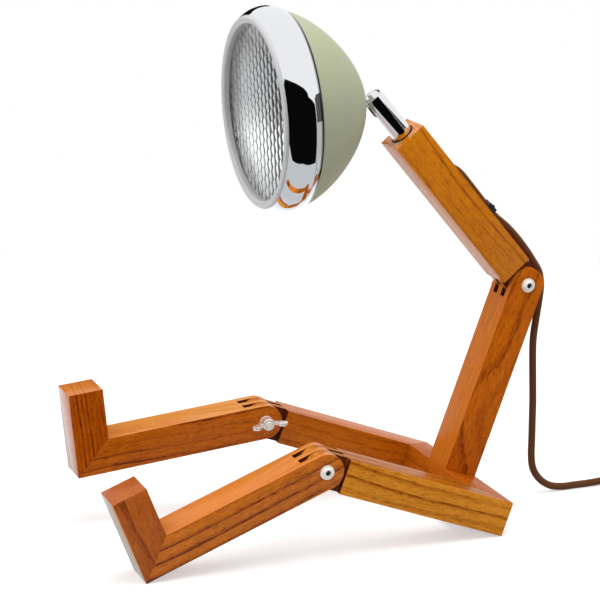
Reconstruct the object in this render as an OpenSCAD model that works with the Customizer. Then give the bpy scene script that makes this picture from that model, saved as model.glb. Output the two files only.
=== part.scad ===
// Desk lamp in the shape of a sitting jointed figure: timber bars, bolted finger joints and a round
// headlamp on a swivelling neck. Millimetres. +Z is up and the lamp looks along -Y; its left is +X.
// The origin is on the table, under the middle of the lamp without its cord.

/* [Timber] */
// Width of every bar, side to side
bar_w = 30; // [24:1:40]
// Thickness of every bar, front to back
bar_t = 26; // [22:1:32]
// Overall width across both thighs
seat_w = 156; // [140:1:200]
// Ledge left on the hip bar in front of and behind the torso
torso_ledge = 2; // [1:0.5:5]
// Back of the hips to a knee bolt
thigh_len = 151; // [130:1:180]
// Knee bolt to sole
shin_len = 148; // [130:1:180]
// Height of a foot from heel to toe
foot_h = 64; // [48:1:90]
// Top of the seat to the waist bolt
torso_len = 150; // [120:1:190]
// Waist bolt to the top end of the chest
chest_len = 152; // [130:1:190]

/* [Finger joints] */
// Gap between a rounded finger end and the shoulder it faces
shoulder_gap = 2; // [1:0.5:4]
// Gap between a rounded tongue end and the bottom of its slot
slot_gap = 1; // [1:0.5:3]
// Clearance on each side of a tongue
finger_gap = 0.15; // [0.05:0.05:0.5]

/* [Dowels] */
// Diameter of a dowel
dowel_d = 6; // [5:0.5:8]
// Length of a dowel
dowel_len = 22; // [16:1:26]
// Distance between the two dowels of a joint
dowel_pitch = 14; // [10:1:16]
// Clearance round a dowel
dowel_gap = 0.05; // [0.02:0.01:0.1]

/* [Pose] */
// Rise of the thighs from the hips to the knees, degrees
seat_tilt = 20.6; // [12:0.2:28]
// Forward lean of the chest from upright, degrees
chest_lean = 39.5; // [20:0.5:55]
// Slope of the raised right shin below level, degrees
right_slope = 5.5; // [0:0.5:20]
// Dip of the head below level, degrees
head_dip = 2.3; // [-10:0.1:20]

/* [Bolts] */
// Diameter of a joint bolt
bolt_d = 5; // [4:0.5:6]
// Running clearance round a bolt
bolt_gap = 0.05; // [0.02:0.01:0.1]
// Diameter of a bolt head
bolt_head_d = 8; // [7.5:0.1:11]
// Height of a bolt head
bolt_head_h = 2.2; // [1.8:0.1:4]
// Width of the hexagon socket in a bolt head
hex_w = 4; // [2.5:0.5:4.5]
// Diameter of a washer
washer_d = 10.6; // [9:0.2:14]
// Thickness of a washer
washer_t = 1; // [0.8:0.1:1.6]

/* [Wing nuts] */
// Diameter of a wing nut's hub
hub_d = 10.2; // [9:0.1:13]
// Height of a wing nut's hub
hub_h = 6.5; // [5:0.5:9]
// Span across the two wings
wing_span = 28; // [22:1:32]
// Height of the wings above the hub's foot
wing_h = 11.5; // [9:0.5:14]
// Thickness of a wing
wing_t = 2.7; // [2:0.1:3.5]
// Turn of the left knee's wing nut on its bolt, degrees
nut_turn_left = 69; // [0:1:180]
// Turn of the right knee's wing nut on its bolt, degrees
nut_turn_right = 92; // [0:1:180]
// Turn of the waist's wing nut on its bolt, degrees
nut_turn_waist = 58; // [0:1:180]

/* [Neck] */
// Outer diameter of the neck tube
neck_d = 16; // [14:0.5:20]
// Wall of the neck tube
neck_wall = 1.3; // [1:0.1:1.6]
// Length of neck tube that stands out of the chest
neck_out = 37.8; // [30:0.2:60]
// Length of neck tube inside the chest
neck_in = 22; // [18:1:28]
// Outer diameter of the friction bush round the neck tube
bush_d = 18.6; // [18.4:0.1:21]
// Length of the friction bush
bush_len = 20; // [12:1:21]
// Depth of the bush below the end of the chest
bush_set = 0.5; // [0:0.1:1.5]
// Running clearance of the neck tube in its bush
bush_gap = 0.05; // [0.02:0.01:0.1]
// Diameter of the ball that carries the head
ball_d = 13; // [11:0.2:13]
// Height of the ball's crown above the end of the neck tube
ball_crown = 2.7; // [1:0.1:4]
// Width of the slot that the stud swings in
slot_w = 7; // [6.6:0.1:8]
// Length of that slot from the open end
slot_len = 13.3; // [11:0.1:16]
// Diameter of the stud between ball and shade
stud_d = 6; // [4.5:0.1:6.2]
// Diameter of the wire way through the stud
stud_bore = 3.2; // [2.8:0.1:3.6]
// Height of the plastic seat under the ball
seat_thick = 6; // [4:0.5:8]
// Diameter of the lead inside the neck
lead_d = 4.4; // [3.6:0.1:5]

/* [Shade] */
// Centre of the ball to the outside of the shade's crown
crown_reach = 10.1; // [10:0.1:14]
// Diameter of the shade at its mouth
shade_d = 139.2; // [120:0.2:160]
// Depth of the shade
shade_h = 56; // [45:0.5:70]
// Thickness of the spun shade
shade_wall = 1.2; // [0.8:0.1:2]
// Fullness of the shade's side
shade_side = 1.798; // [1.6:0.002:2.2]
// Fullness of the shade's crown
shade_full = 0.744; // [0.5:0.002:0.9]
// Diameter of the flat at the crown, where the stud is clamped
crown_flat = 11; // [10:0.5:14]

/* [Lamp front] */
// Step from the shade's mouth to the widest line of the bezel
bezel_step = 4.4; // [3:0.1:7]
// Length of the bezel behind its widest line
bezel_back = 10.9; // [8:0.1:14]
// Length of the bezel in front of its widest line
bezel_front = 14.2; // [10:0.1:18]
// Radius of the bezel's rounded front
bezel_round = 21; // [18:0.5:40]
// Thickness of the spun bezel
bezel_wall = 1.3; // [0.8:0.1:1.6]
// Height of the bead round the glass
bead_h = 2.3; // [1:0.1:4]
// Width of that bead
bead_w = 5.8; // [4:0.1:6.2]
// Thickness of the glass
glass_t = 4; // [3:0.5:5]
// Depth of the glass behind the front of the bezel
glass_set = 2.6; // [2:0.1:4]
// Thickness of the bead ring's sleeve inside the bezel
sleeve_t = 0.7; // [0.5:0.1:1]
// Thickness of the reflector
reflector_wall = 0.8; // [0.6:0.1:1.2]
// Depth of the reflector's full bowl
dish_depth = 48; // [36:1:56]
// Thickness of the ring that holds the reflector in
clip_t = 1.6; // [1:0.1:2.5]

/* [Lampholder and bulb] */
// Outer diameter of the lampholder cup
holder_d = 28.6; // [26:0.2:32]
// Wall of the lampholder cup
holder_wall = 2; // [1.6:0.1:3]
// Length of the lampholder cup
holder_len = 22; // [18:0.5:26]
// Height of the lampholder's foot above the crown
foot_rise = 7.7; // [6:0.1:10]
// Depth of the lampholder's open mouth
seat_ring = 8; // [5:0.5:12]
// Width of the nut that clamps the lampholder, across its flats
nut_w = 10; // [8:0.5:11]
// Diameter of the bulb's screw cap
cap_d = 14; // [13:0.2:15]
// Length of the bulb's screw cap
cap_len = 17; // [14:0.5:20]
// Diameter of the bulb
bulb_d = 25; // [18:0.5:26]
// Length of the bulb's glass
bulb_len = 34; // [26:0.5:36]

/* [Cord] */
// Diameter of the cord
cord_d = 5.6; // [5:0.1:6]
// Distance from the waist bolt to the cord's way out of the chest
exit_up = 107; // [100:1:112]
// Radius of the cord's bend as it leaves the chest
exit_bend_r = 24; // [23:1:30]
// Distance from the waist bolt to the clip that holds the cord
clip_up = 63; // [50:1:75]
// Length of the clip
clip_len = 8; // [6:0.5:10]
// Wall of the clip over the cord
clip_wall = 0.9; // [0.7:0.1:1.5]
// Diameter of the clip's nail
nail_d = 1.5; // [1.2:0.1:2]
// Diameter of the nail's head
nail_head_d = 4.2; // [3.4:0.1:5]
// Length of nail in the timber
nail_depth = 8; // [6:0.5:12]

/* [Coil] */
// Mean radius of the wound part of the cord
coil_mid = 33.6; // [28:0.2:40]
// Turns side by side
coil_turns_across = 2; // [1:1:2]
// Layers of turns
coil_turns_up = 3; // [2:1:3]
// Thickness of the band round the turns
tie_t = 0.8; // [0.5:0.1:1.2]
// Width of that band
tie_w = 12; // [8:1:16]

/* [Switch] */
// Length of the switch
switch_len = 58; // [50:1:66]
// Width of the switch
switch_w = 27; // [22:0.5:32]
// Height of the switch
switch_h = 17; // [15:0.5:20]
// Wall of the switch housing
switch_wall = 1.6; // [1.2:0.1:2]
// Height of the seam between base and cover
switch_split = 8; // [7:0.5:9]
// Height of the cord where it enters the switch
entry_z = 6; // [5.5:0.1:7]
// Width of the rocker
rocker_w = 11; // [8:0.5:14]
// Length of the rocker
rocker_l = 20; // [16:0.5:26]
// Depth of the rocker's pivot below the top of the switch
rocker_drop = 4; // [3:0.5:5]
// Diameter of the rocker's pin
pin_d = 2; // [1.5:0.1:2.5]
// Thickness of the lug on each side of the rocker
lug_w = 2; // [1.5:0.1:3]
// Travel of the rocker, degrees
rocker_travel = 14; // [8:1:18]

/* [Plug] */
// Length of the plug's strain relief
relief_len = 22; // [16:1:28]
// Width of the plug
plug_w = 26; // [22:0.5:30]
// Thickness of the plug
plug_t = 13.4; // [12:0.2:14]
// Length of the plug's grip
grip_len = 24; // [18:1:30]
// Width of the plug's face
face_w = 30; // [26:0.5:34]
// Length of the plug's face
face_len = 6; // [4:0.5:8]
// Distance between the pins
pin_pitch = 19; // [18:0.1:20]
// Diameter of a pin
plug_pin_d = 4; // [3.8:0.1:4.8]
// Length of the pins outside the plug
pin_out = 19; // [17:0.5:20]

/* [Hidden] */

$fn = 72;
left = 1;
right = -1;
eps = 0.01;
far = 400;

// Timber, worked out from the driving sizes
hip_d = bar_t + 2 * torso_ledge;
end_r = bar_t / 2;
finger_w = bar_w / 5;
shoulder = end_r + shoulder_gap;
slot_reach = end_r + slot_gap;
leg_x = seat_w / 2 - bar_w / 2;
torso_y = -torso_ledge - end_r;
waist_up = bar_t + torso_len;

// Places of the bolts in the seat's own upright frame, then in the tilted pose
function lean(y, z) = [
    y * cos(seat_tilt) + z * sin(seat_tilt),
    z * cos(seat_tilt) - y * sin(seat_tilt)
];
knee_at = lean(-thigh_len, end_r);
waist_at = lean(torso_y, waist_up);
heel_r = norm([shin_len, end_r]);
left_slope = asin(knee_at[1] / heel_r) - atan(end_r / shin_len);
toe_out = foot_h - end_r;
function toe_y(slope) = knee_at[0] - toe_out * sin(slope) - shin_len * cos(slope);
front_y = min(toe_y(left_slope), toe_y(right_slope));
back_y = waist_at[0] + end_r;
origin_shift = -(front_y + back_y) / 2;

// Bolts
bolt_r = bolt_d / 2;
bore_r = bolt_r + bolt_gap;
washer_hole = bore_r + bolt_gap;
nut_seat = bar_w / 2 + washer_t;
bolt_end = nut_seat + hub_h + 1.5;

// Neck, along the chest from the waist bolt
neck_r = neck_d / 2;
neck_bore = neck_r - neck_wall;
neck_low = chest_len - neck_in;
neck_top = chest_len + neck_out;
ball_r = ball_d / 2;
ball_up = neck_top + ball_crown - ball_r;
bush_low = chest_len - bush_set - bush_len;
neck_floor = neck_low - 0.3;
stud_r = stud_d / 2;
stud_angle = 90 + head_dip - chest_lean;
wire_r = lead_d / 2;

// Head, along its own axis from the centre of the ball
shade_r = shade_d / 2;
mouth = crown_reach + shade_h;
crown_in = crown_reach + shade_wall;
bezel_r = shade_r + bezel_step;
bezel_mid = mouth + bezel_back;
bezel_end = bezel_mid + bezel_front;
function bezel_edge(d) = bezel_r - bezel_round + sqrt(pow(bezel_round, 2) - pow(d - bezel_mid, 2));
front_r = bezel_edge(bezel_end);
bead_mid = front_r - 0.3 - bead_w / 2;
window_r = bead_mid - bead_w / 2;
rim_r = window_r + sleeve_t + 0.1;
glass_front = bezel_end - glass_set;
glass_back = glass_front - glass_t;
glass_r = rim_r + 2.9;
flange_front = glass_back;
dish_r = glass_r - 1;
holder_r = holder_d / 2;
holder_low = crown_in + foot_rise;
holder_top = holder_low + holder_len;
stud_end = holder_low + holder_wall + 5;
cap_low = stud_end + 1;
bulb_low = cap_low + cap_len;

// Cord
cord_r = cord_d / 2;
cord_lift = end_r + cord_r;
lead_hole = cord_r + 0.7;
lead_turn = neck_low - cord_r - 0.2;
way_angle = atan(end_r / (lead_turn - exit_up));
way = [0, sin(way_angle), -cos(way_angle)];
way_meets = exit_up - cord_r / tan(way_angle);
bend_reach = exit_bend_r * tan(way_angle / 2);
lead_end = (end_r + cord_r) / sin(way_angle) - bend_reach - 0.3;
lead_route = [
    [0, 0, neck_low], [0, 0, lead_turn + 0.6], [0, 0, lead_turn] + 0.6 * way,
    [0, 0, lead_turn] + lead_end * way
];
clip_gap = 0.1;
nail_r = nail_d / 2;
nail_head_r = nail_head_d / 2;
nail_x = cord_r + clip_gap + clip_wall + nail_head_r;
clip_boss = cord_d - 0.2;

// Route of the cord, x y z: out of the chest, down its back and round the waist
upper_route = [
    [0, 104.3, 261.4], [0, 108.5, 259.6], [0, 112.4, 257], [0, 115.7, 253.7], [0, 121.4, 246.8],
    [0, 129.8, 236.4], [0, 136.2, 228.7], [0, 142.6, 221.2], [0, 152.5, 212.6], [0, 161.8, 202.6],
    [0, 170, 192], [0, 176, 183]
];
// Route from the waist down to the table and along it to the switch
lower_route = [
    [0, 176, 183], [0, 178, 180], [0, 180.8, 174.2], [0, 182, 165], [0, 181, 154], [0, 179, 140],
    [0, 177, 124], [0, 177, 108], [0, 177.5, 92], [0, 178, 76], [0, 178, 60], [0, 178, 45],
    [0, 178, 30], [0, 180, 19.6], [0, 186, 10.8], [0, 194.6, 5], [0, 205, 2.9], [0, 216, 2.9],
    [0, 228, 2.9], [0, 240, 3.6], [0, 252, 5.4], [0, 262, 6], [0, 266, 6]
];
switch_y = 262;

// Route from the switch to the outside of the coil, well out of the head's reach
link_route = [
    [0, 316, 6], [0, 320, 6], [1.4, 329, 5.2], [6, 338, 4.4], [13, 345, 4], [22, 349, 3.8],
    [36, 350.4, 3.8], [54, 350, 3.8], [72, 349.4, 3.8], [90, 349.2, 3.8], [108, 349.2, 3.8],
    [122, 349.2, 3.8]
];

// Route from the top of the coil over its outer turns and down to the plug
tail_route = [
    [137.8, 341.4, 15.2], [144.6, 337.4, 18.2], [150, 332, 20.4], [154.2, 325.6, 21],
    [158.4, 318.4, 21.2], [162.4, 311.2, 21.2], [166, 303.6, 20.4], [168.8, 295, 18.2],
    [170, 285.4, 15.4], [168.8, 275.4, 12.8], [165, 265.8, 10.8], [158.8, 257.4, 9.2],
    [150.4, 250.6, 8], [140.4, 246.2, 7.4], [128, 244.6, 7.2], [122, 244.6, 7.2]
];
coil_at = [126, 313, 1];
coil_h = coil_turns_up * cord_d;
coil_in = coil_mid - coil_turns_across * cord_r;
coil_out = coil_mid + coil_turns_across * cord_r;
tie_in = sqrt(pow(coil_in, 2) - pow(tie_w / 2, 2)) - 0.1;
tie_out = coil_out + 0.1;
plug_at = [128, 244.6, 7.2];

// Switch and plug
rocker_up = switch_h - rocker_drop;
rocker_gap = 0.3;
pin_r = pin_d / 2;
lug_x = rocker_w / 2 + rocker_gap + lug_w / 2;
lug_low = rocker_up - 3;
face_low = relief_len + grip_len;
pin_low = face_low - 6;

// ---------------------------------------------------------------- frames

// Puts a child into the lamp's own frame
module on_table() translate([0, origin_shift, 0]) children();

// The seat's frame: y = 0 is its back face, z = 0 its underside
module on_seat() on_table() rotate([-seat_tilt, 0, 0]) children();

// The chest's frame: the waist bolt, with z up along the chest and +y its back
module on_waist() on_table() translate([0, waist_at[0], waist_at[1]]) rotate([chest_lean, 0, 0])
    children();

// A shin's frame: its knee bolt, with the sole at z = -shin_len and the toe towards -y
module on_knee(side) on_table()
    translate([side * leg_x, knee_at[0], knee_at[1]])
        rotate([(side == left ? left_slope : right_slope) - 90, 0, 0]) children();

// The head's frame: the centre of the ball, with z along the beam
module on_head() on_waist() translate([0, 0, ball_up]) rotate([stud_angle, 0, 0]) children();

// The table under the switch, the coil and the plug
module at_switch() translate([0, switch_y, 0]) children();

// ---------------------------------------------------------------- shared shapes

// A slice of outline [y, z] points, w wide along x
module slab(points, w) rotate([90, 0, 90]) linear_extrude(w, center = true) polygon(points);

// A cylinder along x
module axle(r, w) rotate([0, 90, 0]) cylinder(r = r, h = w, center = true);

// A ring of outline [radius, z] points turned about z
module turned(points) rotate_extrude($fn = 96) polygon(points);

// A washer or sleeve along z from low
module ring(r_out, r_in, low, h) translate([0, 0, low]) difference() {
    cylinder(r = r_out, h = h);
    translate([0, 0, -1]) cylinder(r = r_in, h = h + 2);
}

// Slots for two tongues in the end of a bar that runs down from z = 0
module tongue_slots() for (side = [left, right])
    translate([side * finger_w - finger_w / 2, -end_r - 1, -slot_reach])
        cube([finger_w, bar_t + 2, slot_reach + end_r + 1]);

// Three fingers: a bar from z = low up to the bolt at z = 0, with a rounded end and two slots
module fingered(low) difference() {
    union() {
        translate([-bar_w / 2, -end_r, low]) cube([bar_w, bar_t, -low]);
        axle(end_r, bar_w);
    }
    tongue_slots();
    axle(bore_r, bar_w + 2);
}

// Two tongues round the bolt at z = 0 on a bar that starts at the shoulder and runs up
module tongues() difference() {
    for (side = [left, right]) translate([side * finger_w, 0, 0]) {
        w = finger_w - 2 * finger_gap;
        axle(end_r, w);
        translate([-w / 2, -end_r, 0]) cube([w, bar_t, shoulder + eps]);
    }
    axle(bore_r, bar_w + 2);
}

// Two dowels, side by side along x, centred on the origin along z
module dowels(gap = 0, longer = 0) for (side = [left, right])
    translate([side * dowel_pitch / 2, 0, 0])
        cylinder(r = dowel_d / 2 + gap, h = dowel_len + longer, center = true);

module foot_joint() translate([0, 0, end_r - shin_len]) rotate([-45, 0, 0]) children();

module hip_joint(side) translate([side * leg_x, -hip_d / 2, end_r])
    rotate([0, 0, -side * atan(bar_w / hip_d)]) rotate([0, 90, 0]) children();

module torso_joint() translate([0, torso_y, bar_t]) children();

// Bolt along x, head outside on +x, in the frame of its joint
module bolt() {
    head_low = bar_w / 2 + washer_t;
    rotate([0, 90, 0]) difference() {
        union() {
            translate([0, 0, -bolt_end]) cylinder(r = bolt_r, h = bolt_end + head_low + eps);
            turned([
                [0, head_low], [bolt_head_d / 2, head_low],
                [bolt_head_d / 2, head_low + bolt_head_h * 0.45],
                [bolt_head_d / 2 - 0.9, head_low + bolt_head_h], [0, head_low + bolt_head_h]
            ]);
        }
        translate([0, 0, head_low + 0.4])
            cylinder(d = hex_w / cos(30), h = bolt_head_h, $fn = 6);
    }
}

module washers() for (side = [left, right]) rotate([0, side * 90, 0])
    ring(washer_d / 2, washer_hole, bar_w / 2, washer_t);

// Wing nut on the -x side of its joint
module wing_nut(turn) rotate([turn, 0, 0]) translate([-nut_seat, 0, 0]) rotate([0, -90, 0])
    difference() {
        union() {
            turned([
                [0, 0], [hub_d / 2, 0], [hub_d / 2 - 0.5, hub_h - 0.8],
                [hub_d / 2 - 1.1, hub_h], [0, hub_h]
            ]);
            for (side = [left, right]) scale([1, side, 1]) rotate([90, 0, 90])
                linear_extrude(wing_t, center = true) wing();
        }
        translate([0, 0, -1]) cylinder(r = bore_r, h = hub_h + 2);
    }

// Outline of one wing, from the hub outwards
module wing() {
    tip = 3.6;
    translate([wing_span / 2 - tip, wing_h - tip]) circle(tip);
    polygon([
        [hub_d / 2 - 1, 0.8], [hub_d / 2 + 1.2, 1], [wing_span / 2 - 0.55, wing_h - tip - 1.9],
        [wing_span / 2 - tip * 1.4, wing_h - 0.3], [hub_d / 2 + 0.4, 5.2], [hub_d / 2 - 1, 5]
    ]);
}

// ---------------------------------------------------------------- seat and legs

module hip_bar() color("#a85a14") on_seat() difference() {
    linear_extrude(bar_t) polygon([
        [-seat_w / 2, 0], [seat_w / 2, 0],
        [seat_w / 2 - bar_w, -hip_d], [bar_w - seat_w / 2, -hip_d]
    ]);
    for (side = [left, right]) hip_joint(side) dowels(dowel_gap, 1);
    torso_joint() dowels(dowel_gap, 1);
}

module thigh(side) color("#b5691d") on_seat() difference() {
    union() {
        scale([side, 1, 1]) linear_extrude(bar_t) polygon([
            [seat_w / 2, 0], [seat_w / 2, shoulder - thigh_len],
            [seat_w / 2 - bar_w, shoulder - thigh_len], [seat_w / 2 - bar_w, -hip_d]
        ]);
        translate([side * leg_x, -thigh_len, end_r]) rotate([90, 0, 0]) scale([1, 1, -1])
            tongues();
    }
    hip_joint(side) dowels(dowel_gap, 1);
}

module thigh_left() thigh(left);
module thigh_right() thigh(right);

module hip_dowels() color("#d9b382") on_seat() for (side = [left, right]) hip_joint(side) dowels();

module torso_dowels() color("#d9b382") on_seat() torso_joint() dowels();

module torso() color("#a04e12") on_seat() difference() {
    translate([0, torso_y, waist_up]) fingered(-torso_len);
    torso_joint() dowels(dowel_gap, 1);
}

module shin(side) color("#b5691d") on_knee(side) difference() {
    fingered(-shin_len);
    slab([
        [end_r + 1, -shin_len - 1], [end_r, -shin_len], [-end_r, bar_t - shin_len],
        [-end_r - 1, bar_t - shin_len], [-end_r - 1, -shin_len - 1]
    ], bar_w + 2);
    foot_joint() dowels(dowel_gap, 1);
}

module shin_left() shin(left);
module shin_right() shin(right);

module foot(side) color("#a85a14") on_knee(side) difference() {
    slab([
        [end_r, -shin_len], [-toe_out, -shin_len], [-toe_out, bar_t - shin_len],
        [-end_r, bar_t - shin_len]
    ], bar_w);
    foot_joint() dowels(dowel_gap, 1);
}

module foot_left() foot(left);
module foot_right() foot(right);

module foot_dowels_left() color("#d9b382") on_knee(left) foot_joint() dowels();
module foot_dowels_right() color("#d9b382") on_knee(right) foot_joint() dowels();

module knee_bolt_left() color("silver") on_knee(left) bolt();
module knee_bolt_right() color("silver") on_knee(right) rotate([0, 0, 180]) bolt();
module knee_washers_left() color("silver") on_knee(left) washers();
module knee_washers_right() color("silver") on_knee(right) washers();
module knee_nut_left() color("silver") on_knee(left) wing_nut(nut_turn_left);
module knee_nut_right() color("silver") on_knee(right) rotate([0, 0, 180]) wing_nut(nut_turn_right);

// ---------------------------------------------------------------- waist and chest

module on_torso() on_table() translate([0, waist_at[0], waist_at[1]]) rotate([-seat_tilt, 0, 0])
    children();

module waist_bolt() color("silver") on_torso() bolt();
module waist_washers() color("silver") on_torso() washers();
module waist_nut() color("silver") on_torso() wing_nut(nut_turn_waist);

// Way of the lead through the chest: down the middle from its top, then slanting out of the back
module lead_way() translate([0, 0, lead_turn]) {
    cylinder(r = lead_hole, h = neck_floor + 1 - lead_turn);
    sphere(lead_hole);
    rotate([way_angle - 180, 0, 0]) cylinder(r = lead_hole, h = end_r / sin(way_angle) + 3);
}

// Bend that lays the cord on the chest's back as it leaves
module exit_bend(r) intersection() {
    low = way_meets - bend_reach;
    translate([0, cord_lift - exit_bend_r, low]) rotate([0, 90, 0])
        rotate_extrude($fn = 96) translate([exit_bend_r, 0]) circle(r);
    translate([-lead_hole, end_r - 2 * cord_r, low - 1])
        cube([2 * lead_hole, 4 * cord_r, exit_bend_r * sin(way_angle) + 2]);
}

module chest() color("#b06818") on_waist() difference() {
    union() {
        tongues();
        translate([-bar_w / 2, -end_r, shoulder]) cube([bar_w, bar_t, chest_len - shoulder]);
    }
    translate([0, 0, bush_low]) cylinder(d = bush_d + 2 * dowel_gap, h = far);
    translate([0, 0, neck_floor]) cylinder(r = neck_r + 0.3, h = far);
    lead_way();
    exit_bend(cord_r + 0.2);
    translate([nail_x, end_r, clip_up]) rotate([90, 0, 0]) translate([0, 0, -1])
        cylinder(r = nail_r + 0.02, h = nail_depth + 1.5);
}

module neck_bush() color("#181818") on_waist()
    ring(bush_d / 2, neck_r + bush_gap, bush_low, bush_len);

module chest_lead() color("#2b211c") on_waist() tube_along(lead_route);

// Place of the clip's nail, with z out of the chest's back
module on_clip() on_waist() translate([nail_x, end_r, clip_up]) rotate([-90, 0, 0]) children();

module cord_clip() color("#151515") difference() {
    on_waist() translate([0, 0, clip_up - clip_len / 2]) linear_extrude(clip_len) difference() {
        union() {
            translate([0, cord_lift]) circle(cord_r + clip_gap + clip_wall);
            translate([-cord_r - clip_gap - clip_wall, end_r])
                square([cord_d + 2 * clip_gap + clip_wall, cord_r]);
            translate([0, end_r]) square([nail_x + nail_head_r, clip_boss]);
        }
        translate([0, cord_lift]) circle(cord_r + clip_gap);
        translate([-cord_r - clip_gap, end_r - 1]) square([cord_d + 2 * clip_gap, cord_r + 1]);
        translate([-far / 2, end_r - far]) square([far, far]);
    }
    on_clip() translate([0, 0, -1]) cylinder(r = nail_r + 0.02, h = far);
}

module clip_nail() color("silver") on_clip() {
    translate([0, 0, -nail_depth]) cylinder(r = nail_r, h = nail_depth + clip_boss + eps);
    translate([0, 0, clip_boss]) cylinder(r = nail_head_r, h = 0.9);
}

// ---------------------------------------------------------------- neck and head

module neck_tube() color("#dfe3e6") on_waist() difference() {
    ring(neck_r, neck_bore, neck_low, neck_top - neck_low);
    translate([-slot_w / 2, -far, neck_top - slot_len]) cube([slot_w, far, far]);
}

module ball_seat() color("#efece4") on_waist() difference() {
    translate([0, 0, ball_up - ball_r - seat_thick + 2])
        cylinder(r = neck_bore - 0.05, h = seat_thick);
    translate([0, 0, ball_up]) sphere(ball_r + 0.3);
    translate([0, 0, ball_up - 2 * far]) cylinder(r = wire_r + 0.1, h = 2 * far);
    translate([-slot_w / 2, -far, neck_top - slot_len]) cube([slot_w, far, far]);
}

module neck_lead() color("#2b211c") on_waist() translate([0, 0, neck_low])
    cylinder(r = wire_r, h = ball_up - ball_r - 1.5 - neck_low);

module ball_stud() color("#dfe3e6") on_head() difference() {
    union() {
        sphere(ball_r);
        cylinder(r = stud_r, h = stud_end);
    }
    cylinder(d = stud_bore, h = far);
    sphere(stud_bore / 2);
    rotate([180 - stud_angle, 0, 0]) cylinder(r = wire_r + 0.2, h = far);
}

module stud_washers() color("silver") on_head() {
    ring(stud_r + 1.5, stud_r + 0.1, crown_reach - 0.9, 0.9);
    ring(cap_d / 2, stud_r + 0.1, holder_low + holder_wall, 1);
}

module stud_nut() color("silver") on_head() translate([0, 0, holder_low + holder_wall + 1])
    difference() {
        cylinder(d = nut_w / cos(30), h = 3, $fn = 6);
        translate([0, 0, -1]) cylinder(r = stud_r + 0.02, h = 6);
    }

// Depth of a dome of radius r and height h behind its mouth, at distance x from its axis
function dome(x, r, h) = h * (1 - pow(1 - pow(min(x / r, 1), shade_side), shade_full));

// Outline of that dome from the edge of the crown's flat to the mouth
function dome_line(r, h, low, steps = 22) = [
    for (i = [0:steps]) let(a = asin(crown_flat / 2 / r), x = r * sin(a + (90 - a) * i / steps))
        [x, low + (i == 0 ? 0 : dome(x, r, h))]
];

function backwards(line) = [for (i = [len(line) - 1:-1:0]) line[i]];

module shade() color("#a3a887") on_head() turned(concat(
    [[stud_r + 0.1, crown_reach]],
    dome_line(shade_r, shade_h, crown_reach),
    backwards(dome_line(shade_r - shade_wall, shade_h - shade_wall, crown_in)),
    [[stud_r + 0.1, crown_in]]
));

// Outline of the bezel's rounded front, offset inwards by a wall
function bezel_line(wall, last, steps = 12) = [
    for (i = [0:steps]) let(d = bezel_mid + (last - bezel_mid) * i / steps)
        [bezel_edge(d) - wall, d]
];

module bezel() color("#dfe3e6") on_head() {
    collar = shade_r - shade_wall - 1.2;
    turned(concat(
        [
            [collar, mouth - 2.9], [collar, mouth], [shade_r + 0.8, mouth],
            [bezel_r - 1, bezel_mid - 5]
        ],
        bezel_line(0, bezel_end),
        [[rim_r, bezel_end], [rim_r, bezel_end - bezel_wall]],
        backwards(bezel_line(bezel_wall, bezel_end - bezel_wall)),
        [
            [bezel_r - 1 - bezel_wall, bezel_mid - 4.6], [shade_r, mouth + bezel_wall],
            [collar - bezel_wall, mouth + bezel_wall], [collar - bezel_wall, mouth - 2.9]
        ]
    ));
}

module bead_ring() color("#c9cccf") on_head() turned(concat(
    [
        [window_r, bezel_end], [window_r, glass_front + 0.1],
        [window_r + sleeve_t, glass_front + 0.1], [window_r + sleeve_t, bezel_end]
    ],
    [for (a = [0:15:180]) [bead_mid + bead_w / 2 * cos(a), bezel_end + bead_h * sin(a)]]
));

module glass() color("#eef2f2") on_head() translate([0, 0, glass_back])
    cylinder(r = glass_r, h = glass_t, $fn = 96);

module glass_gasket() color("#202020") on_head() {
    skirt = bezel_edge(bezel_end) - bezel_wall - 0.2;
    turned([
        [rim_r, glass_front], [glass_r + 0.05, glass_front], [glass_r + 0.05, glass_back],
        [skirt, glass_back], [skirt, bezel_end - bezel_wall], [rim_r, bezel_end - bezel_wall]
    ]);
}

// Outline of the reflector's dish, from its hole to its flange
function dish_line(wall, steps = 16) = [
    for (i = [0:steps]) let(x = holder_r + 0.7 + (dish_r - holder_r - 0.7) * i / steps)
        [x + wall, flange_front - dish_depth + dish_depth * pow(x / dish_r, 2) - wall]
];

module reflector() color("#d6d9db") on_head() turned(concat(
    dish_line(0),
    [[bezel_edge(flange_front) - bezel_wall - 0.3, flange_front]],
    [[bezel_edge(flange_front) - bezel_wall - 0.3, flange_front - reflector_wall]],
    backwards(dish_line(reflector_wall))
));

module reflector_clip() color("silver") on_head() {
    clip_front = flange_front - reflector_wall;
    ring(bezel_edge(clip_front) - bezel_wall - 0.05, dish_r + 2.5, clip_front - clip_t, clip_t);
}

module lampholder() color("#e8e4da") on_head() difference() {
    union() {
        translate([0, 0, crown_in]) cylinder(d = crown_flat - 0.6, h = foot_rise + 1);
        translate([0, 0, holder_low]) cylinder(r = holder_r, h = holder_len);
    }
    translate([0, 0, crown_in - 1]) cylinder(r = stud_r + 0.1, h = far);
    translate([0, 0, holder_low + holder_wall])
        cylinder(r = holder_r - holder_wall, h = stud_end - holder_low - holder_wall + 0.5);
    translate([0, 0, cap_low - 0.2]) cylinder(d = cap_d + 0.2, h = far);
    translate([0, 0, holder_top - seat_ring]) cylinder(r = holder_r - holder_wall, h = far);
}

module bulb_cap() color("#c9b98a") on_head() translate([0, 0, cap_low]) {
    cylinder(d = cap_d - 5, h = 1.5);
    translate([0, 0, 1.5]) cylinder(d = cap_d, h = cap_len - 1.5);
}

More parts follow.
